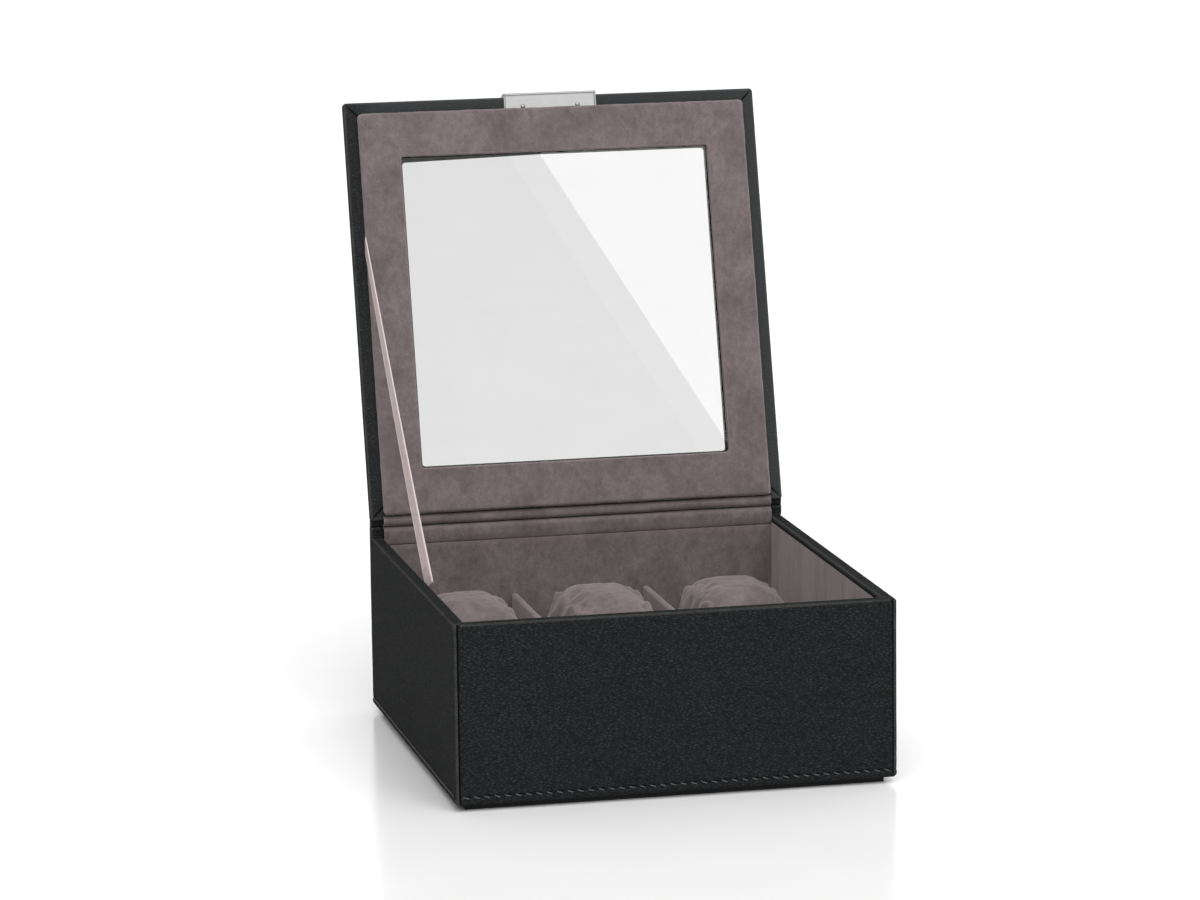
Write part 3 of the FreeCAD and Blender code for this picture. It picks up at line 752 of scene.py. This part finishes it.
def stitches():
    """Slanted stitches round the foot of the walls, each diving into its two needle holes."""
    sides, turns = 7, 8
    threads = []
    chooser = random.Random(8)
    walls = (
        (Vector((1, 0, 0)), Vector((0, -HALF_DEPTH, 0)), HALF_WIDTH),
        (Vector((-1, 0, 0)), Vector((0, HALF_DEPTH, 0)), HALF_WIDTH),
        (Vector((0, -1, 0)), Vector((-HALF_WIDTH, 0, 0)), HALF_DEPTH),
        (Vector((0, 1, 0)), Vector((HALF_WIDTH, 0, 0)), HALF_DEPTH),
    )
    for along, face, half in walls:
        out = face.normalized()
        for middle in stitch_places(half):
            tilt = STITCH_SLANT * chooser.uniform(0.8, 1.15)
            rows = []
            for k in range(turns + 1):
                share = k / turns * 2 - 1
                rise = 0.12 - 0.62 * share**4
                centre = face + along * (middle + share * STITCH_RUN / 2) + out * rise
                centre.z = STITCH_ROW - share * tilt / 2
                plump = THREAD * (1 - 0.25 * share**4)
                rows.append([centre + out * plump * math.sin(a) + Vector((0, 0, plump * math.cos(a)))
                             for a in (2 * math.pi * s / sides for s in range(sides))])
            threads.append(capped(rows))
    finished(new_piece("foot_stitches", joined(threads)), THREAD_WAXED, "case", "thread", "wall_stitching")


# ---- plinth, linings and dividers


def plain_boards():
    """Boards hidden under the coverings keep their CAD shape and get their own material."""
    boards = ["bottom_board", "lid_board", "panel_board"]
    boards += [side + "_wall_board" for side in ("front", "rear", "left", "right")]
    for name in boards:
        set_material(name, BOARD)
    set_material("panel_foam", FOAM)
    set_material("window_glass", GLASS)


def set_material(node, material):
    slots = frame["nodes"][node].data.materials
    slots.clear()
    slots.append(material)


def plinth():
    low, high = node_box("base_plinth")
    finished(new_piece("plinth", rounded_box(low, high, 0.5, 12.0)), PAPER, "case", "plinth", "base_plinth")


def soft_sheet(name, radius, step, seed, wave=0.12):
    """A glued suede sheet: rounded edges and a slightly uneven face."""
    piece = new_piece("suede_" + name, rounded_box(*node_box(name), radius, step))
    ruffle(piece, wave, 9.0, seed)
    lit_and_brushed_down = name in ("left_lining", "right_lining")
    finished(piece, SUEDE_WALL_LIT if lit_and_brushed_down else SUEDE_PANEL, "case", "suede", name)


def linings_and_dividers():
    names = ("floor_lining", "front_lining", "rear_lining", "left_lining", "right_lining")
    for seed, name in enumerate(names):
        soft_sheet(name, 0.4, 3.0, 3.3 * seed)
    for seed, name in enumerate(("row_divider", "left_column_divider", "right_column_divider")):
        soft_sheet(name, 1.35, 2.5, 20 + 2.9 * seed, 0.2)


# ---- hinge


def swept_strip(front, thickness, half, step, sag):
    """A strip across the box from its front line of (y, z) points. sag moves its points in y and z."""
    back = offset_line(front, thickness)
    outline = front + list(reversed(back))
    rows = []
    for x in end_stations(half, step):
        rows.append([Vector((x, y + sag(x, z)[0], z + sag(x, z)[1])) for y, z in outline])
    return capped(rows)


def curve_through(points, step):
    """A smooth line through 2-D points, by Catmull-Rom pieces."""
    ends = [points[0]] + list(points) + [points[-1]]
    line = []
    for p0, p1, p2, p3 in zip(ends, ends[1:], ends[2:], ends[3:]):
        count = max(2, round(math.dist(p1, p2) / step))
        for k in range(count):
            t = k / count
            place = []
            for a, b, c, d in zip(p0, p1, p2, p3):
                square, cube = 2 * a - 5 * b + 4 * c - d, 3 * b - a - 3 * c + d
                place.append(0.5 * (2 * b + (c - a) * t + square * t**2 + cube * t**3))
            line.append(tuple(place))
    return line + [tuple(points[-1])]


def yz(point):
    return point.y, point.z


def hinge_leather():
    """The rear leather goes on over the hinge line and up to the lid, with a crease on the line."""
    bend = HINGE.z - LEATHER / 2
    glued_end = LID_LOW[1] + 1.3
    top = on_lid(0, glued_end, LEATHER + 0.1)
    outer = [(HALF_DEPTH, RIM), (HALF_DEPTH, RIM + 2.2), (HALF_DEPTH - 0.10, bend - 0.9),
             (HALF_DEPTH - 0.45, bend - 0.1), (HALF_DEPTH - 0.55, bend + 0.3), yz(top)]
    inner = [yz(on_lid(0, glued_end, 3.4)), (HALF_DEPTH - 2.0, bend + 0.2),
             (HALF_DEPTH - 2.6, bend - 1.0), (HALF_DEPTH - 2.6, RIM + 1.2), (HALF_DEPTH - 2.4, RIM)]
    outline = curve_through(outer, 0.35) + curve_through(inner, 0.35)
    rows = []
    for x in end_stations(HALF_WIDTH, 4.0):
        slim = folded_under(HALF_WIDTH - abs(x))
        row = []
        for k, (y, z) in enumerate(outline):
            row.append(Vector((x, y + (slim if k >= len(outline) / 2 else -slim), z)))
        rows.append(row)
    piece = new_piece("hinge_leather_strip", capped(rows))
    finished(piece, LEATHER_BLACK, None, "leather", "hinge_leather")
    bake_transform(piece)


def hinge_lining():
    """The suede strip over the hinge: a roll above the rear lining, a crease and a roll under the panel."""
    seat = node_box("rear_lining")[1].z
    face = node_box("rear_lining")[0].y
    crease = seat + 8.0
    tuck = on_lid(0, PANEL_LOW[1] + 0.1, LID_HIGH[2] + 0.1 + SUEDE)
    points = [
        (face + 0.25, seat + 0.1),
        (face - 0.40, seat + 0.55),
        (face - 0.75, seat + 2.2),
        (face - 0.85, seat + 4.4),
        (face - 0.65, seat + 6.2),
        (face + 0.30, seat + 7.4),
        (face + 1.95, crease),
        (face + 0.45, seat + 8.6),
        (face - 0.35, seat + 9.7),
        (face - 0.25, seat + 11.3),
        (face + 0.65, seat + 12.3),
        yz(tuck),
    ]

    def sag(x, z):
        level = min(max((z - seat) / 3.0, 0.0), 1.0)
        wave = noise.noise(Vector((x / 24, z / 5, 4.0))) + 0.5 * noise.noise(Vector((x / 7, z / 4, 9.0)))
        return 0.22 * level * wave, 0.12 * level * wave

    half = -node_box("hinge_lining")[0].x
    skin = swept_strip(curve_through(points, 0.35), SUEDE, half, 1.6, sag)
    piece = finished(new_piece("hinge_suede_strip", skin), SUEDE_PANEL, None, "suede", "hinge_lining")
    height = points_of(piece)[:, 2]
    # painted shade in the crease and in the fold under the lining panel
    from_fold = np.minimum(np.abs(height - crease), tuck.z - 0.4 - height)
    shade(piece, 0.15 + from_fold / FOLD_SHADE)
    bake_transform(piece)


# ---- lid


def lid_leather():
    """The leather of the lid: a sleeve in the window, the outer face, round the edge, and turned in."""
    lid = (LID_LOW[0], LID_HIGH[0], LID_LOW[1], LID_HIGH[1])
    pane = GLASS_LOW[2]
    back = LID_HIGH[2]
    edge, hole = LID_EDGE_ROUND, 0.9
    sleeve = grown(WINDOW, -SLEEVE_LAP)
    steps = [(sleeve, WINDOW_ROUND, pane), (grown(WINDOW, -SLEEVE_LAP / 2), WINDOW_ROUND, pane / 2)]
    for depth, inset in ((hole - y, hole - x) for x, y in arc((0, 0), hole, 0, 90)):
        steps.append((grown(WINDOW, inset), WINDOW_ROUND + inset, depth))
    inner = grown(WINDOW, hole)
    outer = grown(lid, -edge)
    for share in (0.06, 0.2, 0.35, 0.5, 0.65, 0.8, 0.94):
        corner = WINDOW_ROUND + hole + (LID_CORNER_ROUND - WINDOW_ROUND - hole) * share
        steps.append((between(inner, outer, share), max(corner, 0.5), 0.0))
    for x, y in arc((0, 0), edge, 90, 0):
        steps.append((grown(lid, x - edge), LID_CORNER_ROUND - (edge - x), edge - y))
    for x, y in arc((0, 0), edge, 0, -90):
        steps.append((grown(lid, x - edge), LID_CORNER_ROUND - (edge - x), back - edge - y))
    for inset in (1.9, 3.0, 4.5, 7.0, LID_TURN_IN):
        steps.append((grown(lid, -inset), 0.12, back))
    bevel = 0.4
    steps += [
        (grown(lid, -LID_TURN_IN), 0.12, back - LEATHER),
        (grown(lid, -LEATHER - bevel), 0.4, back - LEATHER),
        (grown(lid, -LEATHER), 0.8, back - LEATHER - bevel),
        (grown(lid, -LEATHER), 0.8, LEATHER + bevel),
        (grown(lid, -LEATHER - bevel), 0.4, LEATHER),
        (grown(WINDOW, LEATHER + 0.2), WINDOW_ROUND, LEATHER),
        (grown(WINDOW, LEATHER), WINDOW_ROUND, pane),
    ]
    skin = loft(mitred(lid, back, steps), ring=True, loop=True)
    piece = finished(new_piece("lid_leather_cover", skin), LEATHER_BLACK, "lid", "leather", "lid_leather")
    co = points_of(piece)
    depth = (co - np.array(HINGE)) @ np.array(INTO_LID)
    # painted highlight on the turned-in leather, fading to painted shade towards the lid's left side
    paler = np.clip((co[:, 0] - LID_LOW[0]) / LID_TURN_IN, 0.25, 1.0)
    write_marks(piece, "turned", np.where(depth > back - 0.5, paler, 0.0))


def mitred(lid, back, steps):
    """Lid rings whose turned-in leather dips along the fold lines at the corners, and whose sleeve laps
    further into the window towards its upper left."""
    left, right, _, top = WINDOW
    mitre_depth, mitre_width = 0.35, 0.5
    rows = []
    for rectangle, corner, depth in steps:
        row = []
        for x, up, d in ring(*rectangle, corner, depth):
            at_top = left - 3.0 < x < right and top - 6.0 < up < top + 3.0
            if at_top and 0.0 < depth <= GLASS_LOW[2]:
                up -= SLEEVE_SKEW * max(0.0, 1.0 - (x - left) / SLEEVE_SKEW_END)
            if abs(depth - back) < 1e-6:
                from_side = min(x - lid[0], lid[1] - x)
                from_end = min(up - lid[2], lid[3] - up)
                d -= mitre_depth * math.exp(-(((from_side - from_end) / mitre_width) ** 2))
            row.append(on_lid(x, up, d))
        rows.append(row)
    return rows


def lining_panel():
    """The padded suede panel inside the lid, folded round its edge and into the window."""
    panel = (PANEL_LOW[0], PANEL_HIGH[0], PANEL_LOW[1], PANEL_HIGH[1])
    back, top = PANEL_LOW[2], PANEL_HIGH[2]
    pane = GLASS_HIGH[2]
    edge, hole = PANEL_ROUND, 0.7
    steps = [(WINDOW, WINDOW_ROUND, pane), (WINDOW, WINDOW_ROUND, (pane + top - hole) / 2)]
    for x, y in arc((0, 0), hole, 0, 90):
        steps.append((grown(WINDOW, hole - x), WINDOW_ROUND + hole - x, top - hole + y))
    inner, outer = grown(WINDOW, hole), grown(panel, -edge)
    for share in (0.05, 0.15, 0.3, 0.5, 0.7, 0.85, 0.95):
        corner = WINDOW_ROUND + hole + (PANEL_CORNER - edge - WINDOW_ROUND - hole) * share
        crown = 0.12 * math.sin(math.pi * share)
        steps.append((between(inner, outer, share), max(corner, 0.8), top + crown))
    for x, y in arc((0, 0), edge, 90, 0):
        steps.append((grown(panel, x - edge), PANEL_CORNER - edge + x, top - edge + y))
    steps += [
        (panel, PANEL_CORNER, back + 0.8),
        (grown(panel, -0.1), PANEL_CORNER, back + 0.1),
        (grown(panel, -SUEDE), PANEL_CORNER - SUEDE, back),
        (grown(panel, -SUEDE), PANEL_CORNER - SUEDE, top - SUEDE),
        (grown(WINDOW, SUEDE), WINDOW_ROUND, top - SUEDE),
        (grown(WINDOW, SUEDE), WINDOW_ROUND, pane),
    ]
    rows = [[on_lid(*point) for point in ring(*rectangle, corner, depth, steps=90)]
            for rectangle, corner, depth in steps]
    piece = new_piece("lid_suede_panel", loft(rows, ring=True, loop=True))
    ruffle(piece, 0.16, 7.0, 2.0)
    ruffle(piece, 0.12, 1.6, 6.0)
    finished(piece, SUEDE_PANEL, "lid", "suede", "lid_lining")


def clip():
    """A folded steel channel over the lid's front edge: a tray inside with turned rims, a plate outside."""
    low, high = lid_box("lid_clip")
    left, right, lip = low[0], high[0], high[1]
    outside, inside = low[2], high[2]
    tray_floor, rim_top, rim = inside - 0.05, inside + 0.22, 0.7
    seat = LID_HIGH[2]
    panel_end = PANEL_HIGH[1] + 0.05
    fold = 0.6

    def outline(across):
        """The channel's section, (up, depth) points, at a share of the way into the turned rim."""
        top = rim_top + (tray_floor - rim_top) * across
        near = lip - rim * (0.75 + 0.5 * across)
        line = [(low[1], outside), (lip - fold, outside)]
        line += [(lip - fold + x, outside + fold - y) for x, y in arc((0, 0), fold, 90, 0)][1:]
        line += [(lip - fold + x, rim_top - fold - y) for x, y in arc((0, 0), fold, 0, -90)]
        line += [(near + 0.25, rim_top), (near + 0.08, rim_top - (rim_top - top) * 0.4), (near - 0.12, top)]
        line += [(near - 0.4, top), (panel_end + 0.3, top), (panel_end, top), (panel_end, seat)]
        line += [(LID_HIGH[1], seat), (LID_HIGH[1], 0.0), (low[1], 0.0)]
        return line

    places = [(0.0, 0.0, 0.18), (0.08, 0.0, 0.06), (0.22, 0.0, 0.0), (rim - 0.15, 0.0, 0.0),
              (rim, 0.45, 0.0), (rim + 0.14, 1.0, 0.0), (2.2, 1.0, 0.0)]
    stations = [(left + x, across, shrink) for x, across, shrink in places]
    stations += [(x, 1.0, 0.0) for x in spaced(left + 4, right - 4, 4.0)]
    stations += [(right - x, across, shrink) for x, across, shrink in reversed(places)]
    middle_up, middle_depth = (lip + low[1]) / 2, (outside + inside) / 2
    rows = []
    for x, across, shrink in stations:
        row = []
        for up, depth in outline(across):
            up += shrink * (1 if up < middle_up else -1) * 0.6
            depth += shrink * (1 if depth < middle_depth else -1) * 0.5
            row.append(on_lid(x, up, depth))
        rows.append(row)
    piece = new_piece("lid_clip_steel", capped(rows))
    piece.data.set_sharp_from_angle(angle=math.radians(40))
    finished(piece, STEEL, "lid", "steel", "lid_clip")


def rivets():
    """Two domed heads in the clip's tray, each with a stem down into the lid."""
    low, high = lid_box("clip_rivets")
    head = (high[1] - low[1]) / 2
    towards_hinge = 0.2
    up = (high[1] + low[1]) / 2 - towards_hinge
    seat = lid_box("lid_clip")[1][2] - 0.06
    stem, collar = 0.5, 0.12
    dome = high[2] - seat - collar
    profile = [(stem, low[2]), (stem, seat - 0.05), (head, seat), (head, seat + collar)]
    for x, y in arc((0, 0), 1.0, 0, 90)[1:]:
        profile.append((max(head * x, 0.02), seat + collar + dome * y))
    turns = [2 * math.pi * k / 28 for k in range(28)]
    heads = []
    for x in (low[0] + head, high[0] - head):
        rows = []
        for radius, depth in profile:
            rows.append([on_lid(x + radius * math.cos(a), up + radius * math.sin(a), depth) for a in turns])
        heads.append(capped(rows))
    finished(new_piece("clip_rivet_heads", joined(heads)), STEEL, "lid", "steel", "clip_rivets")


# ---- stay ribbon


def stay_ribbon():
    """A flat woven ribbon pulled tight from the left wall to the lid, a little twisted towards its foot."""
    low, high = node_box("stay_ribbon")
    x = (low.x + high.x) / 2
    foot = Vector((x, RIBBON_FOOT_Y, RIM - RIBBON_SINK))
    head = on_lid(x, RIBBON_REACH, LID_HIGH[2] + 0.1)
    run = head - foot
    way = run.normalized()
    length = run.length
    outward = Vector((1, 0, 0))
    flat = outward.cross(way)
    half, thin = RIBBON_WIDTH / 2, RIBBON_THICKNESS / 2
    shares = [-1.0, -0.97, -0.86, -0.82, -0.6, -0.3, 0.0, 0.3, 0.6, 0.82, 0.86, 0.97, 1.0]
    rows = []
    for distance in spaced(0.0, length, RIB_PITCH):
        share = distance / length
        turn = Matrix.Rotation(RIBBON_TWIST * (1 - share), 3, way)
        wide, thick = turn @ flat, turn @ outward
        tooth = 0.08 * math.sin(math.pi * distance / RIB_PITCH)
        shift = outward * 1.1 * (1 - share) ** 3
        row = []
        for level, order in ((1, shares), (-1, list(reversed(shares)))):
            for s in order:
                bead = 0.10 if 0.8 < abs(s) < 0.99 else 0.0
                slim = 0.3 if abs(s) > 0.99 else 1.0
                away = s * (half + (tooth if abs(s) > 0.9 else 0.0))
                rise = level * (thin + bead) * slim
                row.append(foot + way * distance + shift + wide * away + thick * rise)
        rows.append(row)
    piece = new_piece("stay_ribbon_woven", capped(rows))
    co = points_of(piece) - np.array(foot)
    along = co @ np.array(way)
    side = co - np.outer(along, np.array(way))
    across = np.linalg.norm(side, axis=1) / half
    write_marks(piece, "along", along)
    write_marks(piece, "across", across)
    finished(piece, RIBBON_SATIN, None, "ribbon", "stay_ribbon")
    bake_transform(piece)


# ---- cushions

CUSHION_SCALE = 10.0     # the cloth is simulated ten times as large, where Blender's cloth is steady
CUSHION_RINGS = 24       # from end seam to end seam
CUSHION_POINTS = 92      # round the cushion
CUSHION_START = 0.93     # height and depth before it is blown up, as a share of the cushion's
CUSHION_CORNER = 17.0    # rounding of its long edges before that
END_SEAM = 5.5           # end seam in from the end of the cushion
PLEATS = 11
CLOTH_FRAMES = 24
CLOTH = {
    "quality": 6, "mass": 0.3, "air_damping": 2.0, "bending_stiffness": 0.15, "shear_stiffness": 8,
    "tension_stiffness": 18, "compression_stiffness": 18, "shrink_min": -0.09, "shrink_max": -0.09,
    "use_pressure": True, "uniform_pressure_force": 4.5, "vertex_group_mass": "seams", "pin_stiffness": 1.0,
}


def even_ring(half_a, half_b, corner, count):
    """Points evenly spaced round a rounded rectangle."""
    outline = []
    for k, (sa, sb) in enumerate(((1, 1), (-1, 1), (-1, -1), (1, -1))):
        outline += arc((sa * (half_a - corner), sb * (half_b - corner)), corner, 90 * k, 90 * k + 90, 24)
    outline.append(outline[0])
    spans = np.array([math.dist(p, q) for p, q in zip(outline, outline[1:])])
    marks = np.concatenate([[0.0], np.cumsum(spans)])
    wanted = np.arange(count) / count * marks[-1]
    a = np.interp(wanted, marks, [p[0] for p in outline])
    b = np.interp(wanted, marks, [p[1] for p in outline])
    return list(zip(a, b))


def cushion_rows(half, seed):
    """Rings of points: the flat end, the pleated end seam, the body, and the same again."""
    chooser = random.Random(seed)
    phases = [chooser.uniform(0, 2 * math.pi) for _ in range(4)]
    start_y, start_z = half.y * CUSHION_START, half.z * CUSHION_START
    seam_x = half.x - END_SEAM

    def section(x, scale, pleat, swell):
        row = []
        for k, (y, z) in enumerate(even_ring(start_y, start_z, CUSHION_CORNER, CUSHION_POINTS)):
            turn = 2 * math.pi * k / CUSHION_POINTS
            side = phases[0] if x > 0 else phases[1]
            fold = math.sin(PLEATS * turn + side + 0.9 * math.sin(3 * turn + phases[2]))
            factor = scale * (1 + swell + pleat * fold)
            row.append(Vector((x, y * factor, z * factor)))
        return row

    def flat_end(side):
        """An end, slightly bulging, from its middle out to the seam."""
        shares = [k / 9 for k in range(1, 9)]
        return [section(side * (seam_x + 1.2 * (1 - s**2)), s, 0.02 * s, 0.0) for s in shares]

    body = []
    for x in spaced(-seam_x, seam_x, 2 * seam_x / CUSHION_RINGS):
        near = abs(x) / seam_x
        body.append(section(x, 1.0, 0.055 * near**3, 0.035 * (1 - near**2)))
    return flat_end(-1) + body + flat_end(1)[::-1]


def inflate(piece, pinned):
    """Blows the cushion up as cloth, held at its end seams, and applies the result."""
    group = piece.vertex_groups.new(name="seams")
    group.add(pinned, 1.0, "REPLACE")
    cloth = piece.modifiers.new("stuffing", "CLOTH")
    for setting, value in CLOTH.items():
        setattr(cloth.settings, setting, value)
    cloth.settings.effector_weights.gravity = 0.0
    cloth.collision_settings.use_collision = False
    cloth.point_cache.frame_start = 1
    cloth.point_cache.frame_end = CLOTH_FRAMES
    scene = bpy.context.scene
    for step in range(1, CLOTH_FRAMES + 1):
        scene.frame_set(step)
    old = piece.data
    apply_modifiers(piece)
    piece.vertex_groups.clear()
    bpy.data.meshes.remove(old)
    scene.frame_set(1)


def apply_modifiers(piece):
    graph = bpy.context.evaluated_depsgraph_get()
    result = bpy.data.meshes.new_from_object(piece.evaluated_get(graph))
    piece.modifiers.clear()
    piece.data = result


def cushion(name, seed):
    """A stuffed suede cushion. Without the simulation it is only roughly shaped."""
    low, high = node_box(name)
    centre, half = (low + high) / 2, (high - low) / 2
    rows = cushion_rows(half, seed)
    scaled = [[point * CUSHION_SCALE for point in row] for row in rows]
    piece = new_piece("watch_" + name, capped(scaled))
    seam_x = (half.x - END_SEAM) * CUSHION_SCALE * MM
    pinned = [v.index for v in piece.data.vertices if abs(abs(v.co.x) - seam_x) < 1e-5]
    inflate(piece, pinned)
    fit_cushion(piece, centre, half)
    smooth = piece.modifiers.new("finer", "SUBSURF")
    smooth.levels = smooth.render_levels = 1
    apply_modifiers(piece)
    piece.data.name = piece.name
    piece.data.polygons.foreach_set("use_smooth", [True] * len(piece.data.polygons))
    ruffle(piece, 0.25, 3.0, seed * 1.7)
    finished(piece, SUEDE_CUSHION, name, "cushion_suede", name)


def fit_cushion(piece, centre, half):
    """Brings the simulated cushion back to size and into its cell, flat where it rests, seams drawn in."""
    seam_width, seam_depth, clearance, give = 1.3, 0.9, 0.05, 1.2
    mesh = piece.data
    co = np.array([v.co for v in mesh.vertices]) / MM / CUSHION_SCALE
    size = np.array(half)
    middle = (co.max(axis=0) + co.min(axis=0)) / 2
    reach = (co.max(axis=0) - co.min(axis=0)) / 2
    co = (co - middle) * (size * np.array([1.0, 1.02, 1.03]) / reach)
    seam = size[0] - END_SEAM
    drawn = np.exp(-(((np.abs(co[:, 0]) - seam) / seam_width) ** 2)) * seam_depth
    radius = np.maximum(np.hypot(co[:, 1], co[:, 2]), 1e-6)
    for axis in (1, 2):
        co[:, axis] -= co[:, axis] / radius * drawn
    soft = size - clearance - give
    pressed = np.sign(co) * (soft + give * np.tanh((np.abs(co) - soft) / give))
    co = np.where(np.abs(co) > soft, pressed, co) + np.array(centre)
    mesh.vertices.foreach_set("co", (co * MM).ravel())
    mesh.update()


# ---- floor, lights and camera

CAMERA_PLACE = Vector((-475.2, -2077.3, 519.7))
CAMERA_YAW, CAMERA_PITCH, CAMERA_ROLL = 12.62, -10.42, -0.71
CAMERA_LENS = 154.6


def camera():
    data = bpy.data.cameras.new("camera")
    data.lens = CAMERA_LENS
    data.sensor_width = 36.0
    data.clip_start, data.clip_end = 0.05, 60.0
    eye = bpy.data.objects.new("camera", data)
    bpy.context.scene.collection.objects.link(eye)
    turn = Matrix.Rotation(math.radians(-CAMERA_YAW), 4, "Z")
    turn @= Matrix.Rotation(math.radians(90 + CAMERA_PITCH), 4, "X")
    turn @= Matrix.Rotation(math.radians(CAMERA_ROLL), 4, "Z")
    eye.matrix_world = Matrix.Translation(CAMERA_PLACE * MM) @ turn
    bpy.context.scene.camera = eye
    return eye


def window_softbox(eye, edge, power):
    """A softbox whose slanting edge is reflected in the window pane, as seen from the camera's place.
    edge is how far the reflected edge lies from the middle of the window, in metres at the softbox."""
    size, distance, slant = 0.6, 3.0, math.radians(25.6)
    middle = on_lid(0, (WINDOW[2] + WINDOW[3]) / 2, GLASS_HIGH[2]) * MM
    sight = (middle - eye.matrix_world.translation).normalized()
    mirrored = sight - 2 * sight.dot(INTO_LID) * INTO_LID
    sideways = mirrored.cross(Vector((0, 0, 1))).normalized()
    towards = -sideways * math.cos(slant) + sideways.cross(mirrored) * math.sin(slant)
    data = bpy.data.lights.new("window_softbox", "AREA")
    data.shape = "SQUARE"
    data.size = size
    data.energy = power
    light = bpy.data.objects.new("window_softbox", data)
    bpy.context.scene.collection.objects.link(light)
    facing = Matrix((towards, mirrored.cross(towards), mirrored)).transposed().to_4x4()
    place = middle + mirrored * distance + towards * (size / 2 + edge)
    light.matrix_world = Matrix.Translation(place) @ facing


def soft_key(towards, spread, strength):
    """A wide, even light from a direction."""
    data = bpy.data.lights.new("soft_key", "SUN")
    data.angle = math.radians(spread)
    data.energy = strength
    light = bpy.data.objects.new("soft_key", data)
    bpy.context.scene.collection.objects.link(light)
    light.rotation_euler = Vector(towards).to_track_quat("Z", "Y").to_euler()


def studio():
    """A pale floor under a white sky that is dimmer on the left."""
    scene = bpy.context.scene
    scene.view_settings.view_transform = "Standard"
    world = bpy.data.worlds.new("studio")
    world.use_nodes = True
    tree = world.node_tree
    sky = tree.nodes["Background"]
    sky.inputs["Color"].default_value = (1.0, 1.0, 1.0, 1.0)
    direction = tree.nodes.new("ShaderNodeTexCoord").outputs["Generated"]
    split = tree.nodes.new("ShaderNodeSeparateXYZ")
    dim_left = tree.nodes.new("ShaderNodeMapRange")
    tree.links.new(direction, split.inputs[0])
    tree.links.new(split.outputs["X"], dim_left.inputs["Value"])
    for socket, value in (("From Min", -0.9), ("From Max", 0.2), ("To Min", 0.36), ("To Max", 0.92)):
        dim_left.inputs[socket].default_value = value
    tree.links.new(dim_left.outputs[0], sky.inputs["Strength"])
    scene.world = world
    places = spaced(-9000.0, 9000.0, 1500.0)
    floor = new_piece("floor", loft([[Vector((x, y, 0)) for x in places] for y in places]))
    s = Shading("floor_white", 0.18, Specular_IOR_Level=1.0)
    s.colour(s.level(s.noise(60.0, 2.0)), (0.93, 0.93, 0.93), (0.95, 0.95, 0.95))
    floor.data.materials.append(s.material)


# ---- the whole box

eye = camera()
studio()
window_softbox(eye, 0.063, 3.1)
window_softbox(eye, 0.035, 0.31)
soft_key((-0.08, -0.61, 0.79), 62.0, 2.35)

stay_ribbon()
plain_boards()
front_leather()
side_leather("left_leather", -1, 2.2)
side_leather("right_leather", 1, 3.9)
rear_leather()
stitches()
plinth()
linings_and_dividers()
hinge_leather()
hinge_lining()
lid_leather()
lining_panel()
clip()
rivets()
cushion_names = sorted(name for name in frame["nodes"] if name.startswith("cushion_"))
for number, cushion_name in enumerate(cushion_names):
    cushion(cushion_name, 11 + number)
